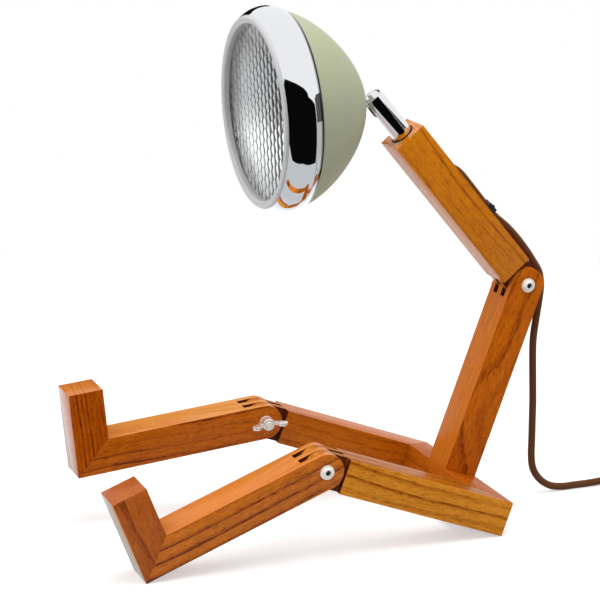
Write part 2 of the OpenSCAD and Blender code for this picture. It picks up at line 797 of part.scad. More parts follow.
module bulb_glass() color("#f7f4ea") on_head() translate([0, 0, bulb_low]) {
    ball = bulb_d / 2;
    cylinder(r1 = cap_d / 2, r2 = ball, h = 6);
    translate([0, 0, 6]) cylinder(r = ball, h = bulb_len - 6 - ball);
    translate([0, 0, bulb_len - ball]) sphere(ball);
}

module head_lead() color("#2b211c") on_head() cylinder(d = stud_bore - 0.4, h = cap_low - 0.2);

// ---------------------------------------------------------------- cord

// Direction of the route at point i
function along(route, i) = let(
    a = route[max(i - 1, 0)], b = route[min(i + 1, len(route) - 1)], v = b - a
) v / norm(v);

// A ring of points round the route at point i, square to it
function hoop(route, i, sides) = let(
    t = along(route, i),
    side = abs(t[0]) > 0.9 ? [0, 0, 1] : [1, 0, 0],
    u = cross(t, side) / norm(cross(t, side)),
    v = cross(t, u)
) [for (k = [0:sides - 1]) route[i] + cord_r * (cos(360 * k / sides) * u + sin(360 * k / sides) * v)];

// A closed tube along a route
module tube_along(route, sides = 10) {
    n = len(route);
    points = [for (i = [0:n - 1]) each hoop(route, i, sides)];
    walls = [
        for (i = [0:n - 2], k = [0:sides - 1]) let(a = i * sides, b = a + sides, j = (k + 1) % sides)
            each [[a + k, b + k, b + j], [a + k, b + j, a + j]]
    ];
    first = [for (k = [0:sides - 1]) k];
    last = [for (k = [sides - 1:-1:0]) (n - 1) * sides + k];
    polyhedron(points, concat([first], walls, [last]));
}

module cord_upper() color("#5a3620") tube_along(upper_route);
module cord_lower() color("#5a3620") tube_along(lower_route);
module cord_link() color("#5a3620") tube_along(link_route);
module cord_tail() color("#5a3620") tube_along(tail_route);

// Outer shape of the wound cord
module cord_coil() color("#5a3620") translate(coil_at) ring(coil_out, coil_in, 0, coil_h);

// Band round the coil's turns
module coil_tie() color("#1c1c1c") translate(coil_at) rotate([0, 0, 200])
    translate([(tie_in + tie_out) / 2, 0, coil_h / 2]) rotate([90, 0, 0]) difference() {
        cube([tie_out - tie_in + 2 * tie_t, coil_h + 2 * tie_t, tie_w], center = true);
        cube([tie_out - tie_in, coil_h + 0.02, tie_w + 2], center = true);
    }

// The switch's outline, rounded at its ends
module switch_outline(inset) {
    r = switch_w / 2 - inset;
    offset_y = switch_w / 2;
    for (y = [offset_y, switch_len - offset_y]) translate([0, y]) circle(r);
    translate([-r, offset_y]) square([2 * r, switch_len - 2 * offset_y]);
}

module switch_entries(grow = 0) for (y = [-1, switch_len - 5]) translate([0, y, entry_z])
    rotate([-90, 0, 0]) cylinder(r = cord_r + grow, h = 6);

module switch_base() color("#232323") at_switch() difference() {
    linear_extrude(switch_split) switch_outline(0);
    translate([0, 0, switch_wall]) linear_extrude(far) switch_outline(switch_wall);
    switch_entries(0.05);
}

module switch_cover() color("#232323") at_switch() difference() {
    translate([0, 0, switch_split]) linear_extrude(switch_h - switch_split) switch_outline(0);
    difference() {
        linear_extrude(switch_h - switch_wall) switch_outline(switch_wall);
        for (side = [left, right]) translate([side * lug_x - lug_w / 2, switch_len / 2 - 3, lug_low])
            cube([lug_w, 6, far]);
    }
    translate([-rocker_w / 2 - rocker_gap, switch_len / 2 - rocker_l / 2 - 0.5, 0])
        cube([rocker_w + 2 * rocker_gap, rocker_l + 1, far]);
    switch_entries(0.05);
    translate([0, switch_len / 2, rocker_up]) axle(pin_r + 0.05, 2 * lug_x + lug_w + 1);
}

// Tilted plate on two pins that run in the cover's walls
module switch_rocker() color("#3a3a3a") at_switch() translate([0, switch_len / 2, rocker_up])
    rotate([rocker_travel / 2, 0, 0]) {
        axle(pin_r, 2 * lug_x + lug_w - 0.4);
        slab([
            [-rocker_l / 2 + 1, 1], [-rocker_l / 2 + 0.8, 3.6], [0, 5.2],
            [rocker_l / 2 - 0.8, 3.6], [rocker_l / 2 - 1, 1], [0, -2.5]
        ], rocker_w);
    }

// Flat two-pin plug that lies on its broad side, pins towards -x
module at_plug() translate(plug_at) rotate([90, 0, -90]) children();

module plug_body() color("#232323") at_plug() difference() {
    union() {
        cylinder(r1 = cord_r + 1, r2 = cord_r + 2.2, h = relief_len);
        translate([0, 0, relief_len]) linear_extrude(grip_len) difference() {
            square([plug_w, plug_t], center = true);
            for (x = [left, right], y = [left, right])
                translate([x * plug_w / 2, y * plug_t / 2]) rotate(45) square(4, center = true);
        }
        translate([0, 0, face_low]) linear_extrude(face_len)
            square([face_w, plug_t], center = true);
    }
    translate([0, 0, -1]) cylinder(r = cord_r + 0.05, h = 9);
    for (x = [left, right]) translate([x * pin_pitch / 2, 0, pin_low])
        cylinder(d = plug_pin_d, h = far);
}

module plug_pins() color("silver") at_plug()
    for (x = [left, right]) translate([x * pin_pitch / 2, 0, pin_low]) {
        straight = face_low + face_len + pin_out - 1 - pin_low;
        cylinder(d = plug_pin_d, h = straight);
        translate([0, 0, straight]) cylinder(d1 = plug_pin_d, d2 = plug_pin_d - 1.2, h = 1);
    }

hip_bar();
thigh_left();
thigh_right();
torso();
hip_dowels();
torso_dowels();
shin_left();
shin_right();
foot_left();
foot_right();
foot_dowels_left();
foot_dowels_right();
knee_bolt_left();
knee_bolt_right();
knee_washers_left();
knee_washers_right();
knee_nut_left();
knee_nut_right();
waist_bolt();
waist_washers();
waist_nut();
chest();
neck_bush();
neck_tube();
ball_seat();
ball_stud();
stud_washers();
stud_nut();
shade();
bezel();
bead_ring();
glass();
glass_gasket();
reflector();
reflector_clip();
lampholder();
bulb_cap();
bulb_glass();
head_lead();
neck_lead();
chest_lead();
cord_clip();
clip_nail();
cord_upper();
cord_lower();
cord_link();
cord_coil();
cord_tail();
coil_tie();
switch_base();
switch_cover();
switch_rocker();
plug_body();
plug_pins();
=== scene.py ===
"""Dresses a sitting desk lamp: jointed timber bars, plated fittings, a chrome-rimmed head and its cord."""

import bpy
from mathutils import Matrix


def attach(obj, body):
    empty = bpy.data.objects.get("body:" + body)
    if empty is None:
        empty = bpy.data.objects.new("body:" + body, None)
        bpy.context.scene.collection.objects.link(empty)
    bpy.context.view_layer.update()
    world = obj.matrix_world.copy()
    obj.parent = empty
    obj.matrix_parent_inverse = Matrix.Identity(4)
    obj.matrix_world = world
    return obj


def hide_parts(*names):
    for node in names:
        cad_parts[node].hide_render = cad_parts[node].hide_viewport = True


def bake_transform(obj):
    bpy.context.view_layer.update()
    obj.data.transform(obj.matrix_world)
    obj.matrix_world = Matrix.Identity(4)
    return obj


bl_info = {
    "name": "Sitting Desk Lamp",
    "version": (1, 0, 0),
    "blender": (4, 5, 0),
    "location": "View3D > Sidebar > Desk Lamp",
    "description": "Builds the timber, fittings, headlamp and cord of a sitting desk lamp on its frame",
    "category": "Object",
}

import math

import bpy
from mathutils import Matrix, Vector

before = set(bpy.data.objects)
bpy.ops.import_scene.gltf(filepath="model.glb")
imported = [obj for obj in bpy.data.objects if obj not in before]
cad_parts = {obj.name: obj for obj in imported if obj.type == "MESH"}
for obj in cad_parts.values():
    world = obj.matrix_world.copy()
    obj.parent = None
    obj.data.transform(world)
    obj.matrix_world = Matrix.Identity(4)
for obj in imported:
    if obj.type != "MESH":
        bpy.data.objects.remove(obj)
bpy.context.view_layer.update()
MM = 0.001

# ---------- the lamp's own places, millimetres


def at(x, y, z):
    return Matrix.Translation(Vector((x, y, z)) * MM)


def about(axis, degrees):
    return Matrix.Rotation(math.radians(degrees), 4, axis)


KNEE_YZ = (-20.6063, 65.2969)
WAIST_BOLT = (0, 164.048, 170.0241)
WAIST_YZ = WAIST_BOLT[1:]
SEAT = at(0, 116.1647, 0) @ about("X", -20.6)
TORSO = at(*WAIST_BOLT) @ about("X", -20.6)
CHEST = at(*WAIST_BOLT) @ about("X", 39.5)
KNEE = {
    "left": at(63, *KNEE_YZ) @ about("X", 21.0523 - 90),
    "right": at(-63, *KNEE_YZ) @ about("X", 5.5 - 90),
}
BALL_UP = 186.0
HEAD = CHEST @ at(0, 0, BALL_UP) @ about("X", 52.8)

CORD_R = 2.8
COIL_MID = 33.6
COIL_AT = (126, 313, 1)
UPPER_ROUTE = [
    (0, 104.3, 261.4), (0, 108.5, 259.6), (0, 112.4, 257), (0, 115.7, 253.7), (0, 121.4, 246.8),
    (0, 129.8, 236.4), (0, 136.2, 228.7), (0, 142.6, 221.2), (0, 152.5, 212.6), (0, 161.8, 202.6),
    (0, 170, 192), (0, 176, 183),
]
LOWER_ROUTE = [
    (0, 178, 180), (0, 180.8, 174.2), (0, 182, 165), (0, 181, 154), (0, 179, 140), (0, 177, 124),
    (0, 177, 108), (0, 177.5, 92), (0, 178, 76), (0, 178, 60), (0, 178, 45), (0, 178, 30),
    (0, 180, 19.6), (0, 186, 10.8), (0, 194.6, 5), (0, 205, 2.9), (0, 216, 2.9), (0, 228, 2.9),
    (0, 240, 3.6), (0, 252, 5.4), (0, 262, 6), (0, 276, 6), (0, 291, 6), (0, 306, 6),
]
LINK_ROUTE = [
    (0, 316, 6), (0, 320, 6), (1.4, 329, 5.2), (6, 338, 4.4), (13, 345, 4), (22, 349, 3.8),
    (36, 350.3, 3.8), (54, 350, 3.8), (72, 349.4, 3.8), (90, 349.2, 3.8), (108, 349.2, 3.8),
]
TAIL_ROUTE = [
    (158.4, 318.4, 21.2), (162.4, 311.2, 21.2), (166, 303.6, 20.4), (168.8, 295, 18.2),
    (169.8, 285.4, 15.4), (168.8, 275.4, 12.8), (165, 265.8, 10.8), (158.8, 257.4, 9.2),
    (150.4, 250.6, 8), (140.4, 246.2, 7.4), (128, 244.6, 7.2), (122, 244.6, 7.2),
]


# ---------- materials


class Wire:
    """One value in a material. Sums and products of wires add their own nodes."""

    def __init__(self, tree, socket):
        self.tree, self.socket = tree, socket

    def math(self, operation, *values):
        node = self.tree.nodes.new("ShaderNodeMath")
        node.operation = operation
        for slot, value in zip(node.inputs, values):
            if isinstance(value, Wire):
                self.tree.links.new(value.socket, slot)
            else:
                slot.default_value = value
        return Wire(self.tree, node.outputs[0])

    def __add__(self, other):
        return self.math("ADD", self, other)

    __radd__ = __add__

    def __sub__(self, other):
        return self.math("SUBTRACT", self, other)

    def __rsub__(self, other):
        return self.math("SUBTRACT", other, self)

    def __mul__(self, other):
        return self.math("MULTIPLY", self, other)

    __rmul__ = __mul__

    def __pow__(self, other):
        return self.math("POWER", self, other)

    def fract(self):
        return self.math("FRACT", self)

    def sine(self):
        return self.math("SINE", self)

    def size(self):
        return self.math("ABSOLUTE", self)

    def top(self, other):
        return self.math("MAXIMUM", self, other)


class Finish:
    """A material being mixed on one Principled shader."""

    def __init__(self, name, settings):
        self.material = bpy.data.materials.new(name)
        self.material.use_nodes = True
        self.tree = self.material.node_tree
        self.shader = self.tree.nodes["Principled BSDF"]
        for socket, value in settings.items():
            self.shader.inputs[socket].default_value = value

    def node(self, kind, settings=None, values=None, out=0):
        """Adds a node: its settings first, then the values or wires of its sockets."""
        made = self.tree.nodes.new(kind)
        for name, value in (settings or {}).items():
            if name == "stops":
                ramp = made.color_ramp
                while len(ramp.elements) < len(value):
                    ramp.elements.new(0.5)
                for stop, (place, colour) in zip(ramp.elements, value):
                    stop.position, stop.color = place, colour
            else:
                setattr(made, name, value)
        for name, value in (values or {}).items():
            if isinstance(value, Wire):
                self.tree.links.new(value.socket, made.inputs[name])
            else:
                made.inputs[name].default_value = value
        return Wire(self.tree, made.outputs[out])

    def coordinates(self, place=None):
        """The piece's own coordinates in metres, or those of a frame that stands anywhere on it."""
        here = self.node("ShaderNodeTexCoord", out="Object")
        if place is None:
            return here
        turn = place.to_euler("XYZ")
        return self.node(
            "ShaderNodeMapping",
            {"vector_type": "TEXTURE"},
            {"Vector": here, "Location": place.to_translation(), "Rotation": turn},
        )

    def split(self, vector):
        parts = self.node("ShaderNodeSeparateXYZ", values={"Vector": vector})
        return [Wire(self.tree, s) for s in parts.socket.node.outputs]

    def join(self, x, y, z):
        return self.node("ShaderNodeCombineXYZ", values={"X": x, "Y": y, "Z": z})

    def noise(self, vector, scale=1.0, detail=2.0, rough=0.5):
        return self.node(
            "ShaderNodeTexNoise",
            values={"Vector": vector, "Scale": scale, "Detail": detail, "Roughness": rough},
        )

    def ramp(self, wire, low, high):
        """0 below low, 1 above high."""
        return self.node(
            "ShaderNodeMapRange",
            {"interpolation_type": "SMOOTHSTEP"},
            {"Value": wire, "From Min": low, "From Max": high},
        )

    def blend(self, share, first, second):
        """Colour that goes from first to second as share goes from 0 to 1."""
        made = self.tree.nodes.new("ShaderNodeMix")
        made.data_type = "RGBA"
        made.clamp_factor = True
        for index, value in ((0, share), (6, first), (7, second)):
            if isinstance(value, Wire):
                self.tree.links.new(value.socket, made.inputs[index])
            else:
                made.inputs[index].default_value = value
        return Wire(self.tree, made.outputs[2])

    def feed(self, socket, wire):
        self.tree.links.new(wire.socket, self.shader.inputs[socket])

    def bump(self, height, strength, distance):
        values = {"Height": height, "Strength": strength, "Distance": distance}
        self.feed("Normal", self.node("ShaderNodeBump", values=values))


def rgb(colour):
    return (*colour[:3], 1.0)


def written(code):
    """Scene colour of a six-digit paint code."""
    parts = [int(code[i : i + 2], 16) / 255 for i in (0, 2, 4)]
    return [p / 12.92 if p <= 0.04045 else ((p + 0.055) / 1.055) ** 2.4 for p in parts]


def timber_finish(name, grain, light, dark, pitch, slant, lines, seed, gloss, coat=0.3, faces=()):
    """Oiled open-grained timber. The grain frame has its z along the bar; the growth rings are
    pitch metres apart and their layers lean by slant degrees. Each of faces is a side of the grain
    frame with a paleness and a lacquer weight of its own. The paleness is partly the timber's own
    figure and partly painted light, which makes that side paler, and painted shade where it is below 0."""
    f = Finish(
        name,
        {
            "Roughness": gloss, "Coat Weight": coat, "Coat Roughness": 0.12,
            "Specular IOR Level": 0.15 if coat > 0.12 else 0.03,
            "Coat IOR": 1.5 if len(faces) > 1 else 1.35,
        },
    )
    x, y, z = f.split(f.coordinates(grain))
    lean = math.radians(slant)
    drift = f.noise(f.join(x * 8 + seed, y * 8, z * 6), 1.0, 2.0, 0.45) - 0.5
    ripple = f.noise(f.join(x * 200, y * 200 + seed, z * 22), 1.0, 2.0) - 0.5
    depth = x * math.cos(lean) + y * math.sin(lean) + drift * 0.016 + ripple * 0.0013
    ring = depth * (1 / pitch) + seed
    layer = ring.fract()
    own = f.ramp(f.noise(f.join(ring * 0.83, z * 2, seed), 1.0, 1.0), 0.36, 0.62) * 0.75 + 0.25
    late = f.ramp(layer, 0.5, 0.96) * f.ramp(1.0 - layer, 0.0, 0.06)
    broken = f.ramp(f.noise(f.join(x * 900, y * 900 + seed, z * 80), 1.0, 2.0, 0.6), 0.3, 0.62) * 0.6 + 0.4
    fibre = f.noise(f.join(x * 620 + seed, y * 620, z * 90), 1.0, 3.0, 0.7)
    pores = f.ramp(f.noise(f.join(x * 1000, y * 1000, z * 190 + seed), 1.0, 2.0, 0.65), 0.53, 0.66)
    cloud = f.noise(f.join(x * 45, y * 45, z * 16 + seed), 1.0, 3.0, 0.6)
    shade = late * own * broken * lines + (fibre - 0.42) * 1.25 + pores * 0.42 + (cloud - 0.5) * 0.7
    lacquer = 0.0
    # each face's paleness is painted light on that side of the bar, and painted shade where it is negative
    for side, pale, own_coat in faces:
        normal = f.node("ShaderNodeTexCoord", out="Normal")
        side_axis = grain.to_3x3() @ Vector(side)
        dot = {"operation": "DOT_PRODUCT"}
        across = f.node("ShaderNodeVectorMath", dot, {0: normal, 1: side_axis}, "Value")
        flat = f.ramp(across, 0.6, 0.9)
        shade = shade * (1.0 - flat * 0.35) - flat * pale
        lacquer = flat * (own_coat - coat) + lacquer
    if faces:
        f.feed("Coat Weight", lacquer + coat)
    # the palest face lifts the paler wood colour further: painted light on that side
    lit_lift = max([0.0] + [pale for _, pale, _ in faces])
    gains, lifts = (1.25, 1.6, 2.2), (0.0, 0.15, 0.08)
    honey = [min(1.0, c * gain + lift * lit_lift) for c, gain, lift in zip(light, gains, lifts)]
    lightened = f.blend(shade * -1.0, rgb(light), rgb(honey))
    f.feed("Base Color", f.blend(shade, lightened, rgb(dark)))
    f.feed("Roughness", fibre * 0.15 + (gloss - 0.06) + pores * 0.1)
    f.bump(fibre * 0.5 - pores * 0.7 - late * 0.25, 0.12, 0.0004)
    return f.material


def metal_finish(name, colour, roughness, brushed=0.0, place=None, metallic=1.0, shaded=None):
    """Plated metal with faint polishing marks; brushed adds rings about the z axis of its frame.
    shaded is a height or, on the frame's +z side, a radius, as ("z" or "r", dark, clear) in metres,
    where the metal passes from unlit to clear."""
    f = Finish(name, {"Metallic": metallic, "Base Color": rgb(colour)})
    here = f.coordinates(place)
    haze = f.noise(here, 45.0, 3.0)
    f.feed("Roughness", haze * roughness * 0.8 + roughness * 0.6)
    x, y, z = f.split(here)
    reach = (x * x + y * y) ** 0.5
    if shaded:
        clear = f.ramp(z if shaded[0] == "z" else reach, shaded[1], shaded[2])
        if shaded[0] == "r":
            clear = clear.top(f.ramp(z * -1.0, 0.0, 0.001))
        f.feed("Base Color", f.blend(clear, rgb([c * 0.03 for c in colour[:3]]), rgb(colour)))
    if brushed:
        marks = f.noise(f.join(reach * 5200, z * 5200, 0.0), 1.0, 3.0)
        f.bump(marks, brushed, 0.0001)
    return f.material


def paint_finish(name, colour, roughness, grain):
    """Matt powder coat with a fine orange peel."""
    f = Finish(name, {"Roughness": roughness, "Specular IOR Level": 0.35})
    here = f.coordinates()
    cloud = f.noise(here, 18.0, 2.0)
    speck = f.noise(here, 2600.0, 2.0)
    deeper = [c * 0.93 for c in colour[:3]]
    f.feed("Base Color", f.blend(cloud, rgb(colour), rgb(deeper)))
    f.feed("Roughness", speck * 0.12 + (roughness - 0.06))
    f.bump(speck + f.noise(here, 700.0, 1.0) * 0.8, grain, 0.00008)
    return f.material


def moulding_finish(name, colour, roughness, grain=0.15):
    """Moulded plastic or rubber with a fine spark-eroded skin."""
    f = Finish(name, {"Base Color": rgb(colour)})
    here = f.coordinates()
    speck = f.noise(here, 3200.0, 2.0)
    deeper = [c * 0.86 for c in colour[:3]]
    f.feed("Base Color", f.blend(f.noise(here, 60.0, 2.0), rgb(colour), rgb(deeper)))
    f.feed("Roughness", speck * 0.2 + (roughness - 0.1))
    f.bump(speck, grain, 0.00006)
    return f.material


def braid_finish(name, dark, light):
    """Braided textile round a cord. The UV map runs once round the cord and along it in metres."""
    fluff = rgb([min(1.0, c * 2.2) for c in light[:3]])
    settings = {"Roughness": 0.85, "Sheen Weight": 0.7, "Sheen Roughness": 0.35, "Sheen Tint": fluff}
    f = Finish(name, {**settings, "Specular IOR Level": 0.2})
    u, v, _ = f.split(f.node("ShaderNodeTexCoord", out="UV"))
    turn, run = u * (2 * math.pi * 8), v * (2 * math.pi * 480)
    one = ((turn + run) * 0.5).sine().size()
    two = ((turn - run) * 0.5).sine().size()
    weave = one.top(two)
    lay = ((turn + run) * 0.5).sine() * ((turn - run) * 0.5).sine()
    fuzz = f.noise(f.join(u * 40, v * 1800, 0.0), 1.0, 3.0, 0.7)
    fleck = f.ramp(f.noise(f.join(u * 60, v * 2600, 3.0), 1.0, 1.0), 0.6, 0.75)
    lightened = f.ramp(weave, 0.75, 1.0) * 0.35 + fleck * 0.4 + (fuzz - 0.5) * 0.5
    f.feed("Base Color", f.blend(lightened, rgb(dark), rgb(light)))
    f.bump(weave * 0.9 + lay * 0.3 + fuzz * 0.6, 0.8, 0.0004)
    return f.material


def glass_finish(name, tint, roughness):
    """Clear pressed glass with faint flow marks."""
    f = Finish(name, {"Base Color": rgb(tint), "Transmission Weight": 1.0, "IOR": 1.47})
    here = f.coordinates()
    f.feed("Roughness", f.noise(here, 120.0, 2.0) * roughness + roughness * 0.5)
    f.bump(f.noise(here, 70.0, 2.0), 0.06, 0.001)
    return f.material


# ---------- shaping

MERGE = 0.000002  # metres between vertices that are one
FLAT_BELOW = 0.4  # degrees between faces that are one
SMOOTH_BELOW = 34  # degrees between faces that are shaded as one


def only(obj):
    """Selects one object and nothing else."""
    for other in bpy.context.selected_objects:
        other.select_set(False)
    obj.select_set(True)
    bpy.context.view_layer.objects.active = obj
    return obj


def rename(obj, name):
    obj.name = name
    obj.data.name = name
    return obj


def editing(obj):
    only(obj)
    bpy.ops.object.mode_set(mode="EDIT")
    take_all()


def done():
    bpy.ops.object.mode_set(mode="OBJECT")


def take_all():
    bpy.ops.mesh.select_all(action="SELECT")


def deselect():
    bpy.ops.object.select_all(action="DESELECT")


def smooth_below(degrees):
    bpy.ops.object.shade_smooth_by_angle(angle=math.radians(degrees))


def polygon(name, corners, fill="NGON"):
    """A flat face, or only its rim, with the given corners in metres."""
    deselect()
    bpy.ops.mesh.primitive_circle_add(vertices=len(corners), fill_type=fill)
    obj = rename(bpy.context.object, name)
    for vertex, corner in zip(obj.data.vertices, corners):
        vertex.co = corner
    return obj


def settle(obj, place=None):
    """Puts a piece built about the origin at its place, and its place into its mesh."""
    only(obj)
    if place is not None:
        obj.matrix_world = place
    bpy.ops.object.transform_apply(location=True, rotation=True, scale=True)
    return obj


def modify(obj, kind, **settings):
    """Adds a modifier and applies it."""
    only(obj)
    bpy.ops.object.modifier_add(type=kind)
    made = obj.modifiers[-1]
    for name, value in settings.items():
        setattr(made, name, value)
    bpy.ops.object.modifier_apply(modifier=made.name)
    return obj


def soften(obj, width, segments=2, angle=32):
    """Rounds every sharp edge by width millimetres and shades the rest smooth."""
    if width:
        modify(
            obj, "BEVEL", width=width * MM, segments=segments, limit_method="ANGLE",
            angle_limit=math.radians(angle), harden_normals=False, use_clamp_overlap=True,
        )
    only(obj)
    smooth_below(SMOOTH_BELOW)
    return obj


def copy_of(node, name):
    """A merged copy of a CAD node with its flat faces made whole."""
    made = bpy.data.objects.new(name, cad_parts[node].data.copy())
    made.data.name = name
    bpy.context.scene.collection.objects.link(made)
    made.data.materials.clear()
    editing(made)
    bpy.ops.mesh.customdata_custom_splitnormals_clear()
    bpy.ops.mesh.remove_doubles(threshold=MERGE)
    bpy.ops.mesh.dissolve_limited(angle_limit=math.radians(FLAT_BELOW))
    done()
    return made


def turned(name, outline, place, steps=128, smooth=30):
    """A ring-shaped or solid piece: a closed outline of (radius, height) in millimetres, spun about z."""
    obj = polygon(name, [(radius * MM, 0, height * MM) for radius, height in outline], "NOTHING")
    editing(obj)
    bpy.ops.mesh.spin(steps=steps, angle=2 * math.pi, center=(0, 0, 0), axis=(0, 0, 1))
    take_all()
    bpy.ops.mesh.remove_doubles(threshold=0.000005)
    bpy.ops.mesh.dissolve_degenerate(threshold=MERGE)
    take_all()
    bpy.ops.mesh.normals_make_consistent(inside=False)
    done()
    settle(obj, place)
    smooth_below(smooth)
    return obj


def fit(obj, body, slot, material, *nodes):
    """Gives a finished piece its material, its body and the CAD nodes that it stands for."""
    obj.data.materials.clear()
    obj.data.materials.append(material)
    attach(obj, body)
    if nodes:
        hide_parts(*nodes)
    return obj


def refit(node, name, body, slot, material, width, segments=2, angle=32):
    """A CAD node's own shape with its sharp edges rounded by width millimetres, finished as a piece."""
    return fit(soften(copy_of(node, name), width, segments, angle), body, slot, material, node)


def melt(obj, voxel, factor, iterations):
    """Remeshes a piece finely and smooths it, as it comes out of a mould."""
    modify(obj, "REMESH", mode="VOXEL", voxel_size=voxel, use_smooth_shade=True)
    modify(
        obj, "CORRECTIVE_SMOOTH", factor=factor, iterations=iterations, smooth_type="SIMPLE",
        rest_source="ORCO", use_only_smooth=True,
    )


def dress(material, *nodes):
    """Gives CAD nodes that stay as they are a better material."""
    for node in nodes:
        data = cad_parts[node].data
        data.materials.clear()
        data.materials.append(material)


# ---------- cord


def smooth_route(points, step=2.2):
    """Points on a smooth line through a route, about step millimetres apart."""
    points = [Vector(p) for p in points]
    padded = [points[0] * 2 - points[1], *points, points[-1] * 2 - points[-2]]
    made = []
    for i in range(1, len(padded) - 2):
        a, b, c, d = padded[i - 1 : i + 3]
        count = max(1, round((c - b).length / step))
        for k in range(count):
            t = k / count
            square, cube = 2 * a - 5 * b + 4 * c - d, 3 * b - a - 3 * c + d
            made.append(0.5 * (2 * b + (c - a) * t + square * t * t + cube * t ** 3))
    made.append(points[-1])
    return made


def coil_route(per_turn=72, slot=40):
    """The wound part, clockwise from its entry at the back: five turns in two columns of three. Each
    turn shifts to its next place in a stretch of its own, so that no two turns ever need the same
    room; the last one rises over the top and leaves there."""
    places = [(1, 0), (-1, 0), (-1, 1), (1, 1), (1, 2), (-1, 2), (-1, 3)]
    starts = [315, 240, 170, 110, 60, 20]
    made = []
    for turn in range(6):
        (side, level), (next_side, next_level) = places[turn], places[turn + 1]
        for k in range(per_turn if turn < 5 else 1 + per_turn // 6):
            angle = 360 * k / per_turn
            t = min(max((angle - starts[turn]) / slot, 0), 1)
            t = t * t * (3 - 2 * t)
            radius = COIL_MID + CORD_R * (side + (next_side - side) * t)
            height = CORD_R + 2 * CORD_R * (level + (next_level - level) * t)
            across, along = math.sin(math.radians(angle)), math.cos(math.radians(angle))
            made.append(Vector(COIL_AT) + Vector((radius * across, radius * along, height)))
    return made


def cord_line():
    """The whole cord from the chest to inside the plug, millimetres."""
    coil = coil_route()
    way_in = smooth_route([*UPPER_ROUTE, *LOWER_ROUTE, *LINK_ROUTE, coil[0]])
    tail = smooth_route([coil[-2], coil[-1], *TAIL_ROUTE])
    return way_in[:-1] + coil[:-2] + tail


def tube(name, line, radius, sides=14):
    """A closed tube along a line, with a UV map: once round, and along it in metres."""
    verts, faces, uvs = [], [], []
    run = [0.0]
    for a, b in zip(line, line[1:]):
        run.append(run[-1] + (b - a).length)
    side = Vector((1, 0, 0))
    for i, point in enumerate(line):
        along = (line[min(i + 1, len(line) - 1)] - line[max(i - 1, 0)]).normalized()
        side = (side - along * side.dot(along)).normalized()
        other = along.cross(side)
        for k in range(sides):
            turn = 2 * math.pi * k / sides
            verts.append((point + (side * math.cos(turn) + other * math.sin(turn)) * radius) * MM)
    for i in range(len(line) - 1):
        for k in range(sides):
            j = (k + 1) % sides
            faces.append((i * sides + k, i * sides + j, (i + 1) * sides + j, (i + 1) * sides + k))
            low, high = run[i] * MM, run[i + 1] * MM
            uvs += [(k / sides, low), ((k + 1) / sides, low), ((k + 1) / sides, high), (k / sides, high)]
    for first, flip in ((0, True), ((len(line) - 1) * sides, False)):
        cap = [first + k for k in range(sides)]
        faces.append(tuple(reversed(cap)) if flip else tuple(cap))
        uvs += [(k / sides, run[-1] * MM if not flip else 0.0) for k in range(sides)]
    mesh = bpy.data.meshes.new(name)
    mesh.from_pydata([tuple(v) for v in verts], [], faces)
    layer = mesh.uv_layers.new(name="UVMap")
    for loop, uv in zip(layer.data, uvs):
        loop.uv = uv
    mesh.validate()
    obj = bpy.data.objects.new(name, mesh)
    bpy.context.scene.collection.objects.link(obj)
    only(obj)
    smooth_below(50)
    return obj, run[-1]


class LampCord(bpy.types.Operator):
    """Lay the braided cord, wound up beyond the switch, with its clip and tie"""

    bl_idname = "desk_lamp.cord"
    bl_label = "Cord"

    def execute(self, context):
        look = context.scene.desk_lamp_cord
        line = cord_line()
        cord, length = tube("cord", line, CORD_R)
        cord.data.materials.append(braid_finish("braided textile", look.dark, look.light))
        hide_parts("cord_upper", "cord_lower", "cord_link", "cord_coil", "cord_tail")
        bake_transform(cord)
        black = moulding_finish("black clip", look.plastic, 0.42)
        refit("cord_clip", "clip", "upper_body", "black_plastic", black, 0.25)
        nail = metal_finish("nail steel", (0.8, 0.8, 0.78), 0.16)
        refit("clip_nail", "clip_nail_head", "upper_body", "plated_steel", nail, 0.25, 3)
        strap = moulding_finish("tie", look.plastic, 0.7, 0.6)
        refit("coil_tie", "tie", "base", "black_plastic", strap, 0.3)
        sheath = moulding_finish("lead sheath", (0.05, 0.03, 0.02), 0.5)
        dress(sheath, "head_lead", "neck_lead", "chest_lead")
        tuple(line[0] * MM)
        [tuple(p * MM) for p in line]
        return {"FINISHED"}


DULL = {"Roughness": 1.0, "Specular IOR Level": 0.0}
WHITE = (1, 1, 1, 1)
WALL_X = 2.6  # metres to the wall behind the camera


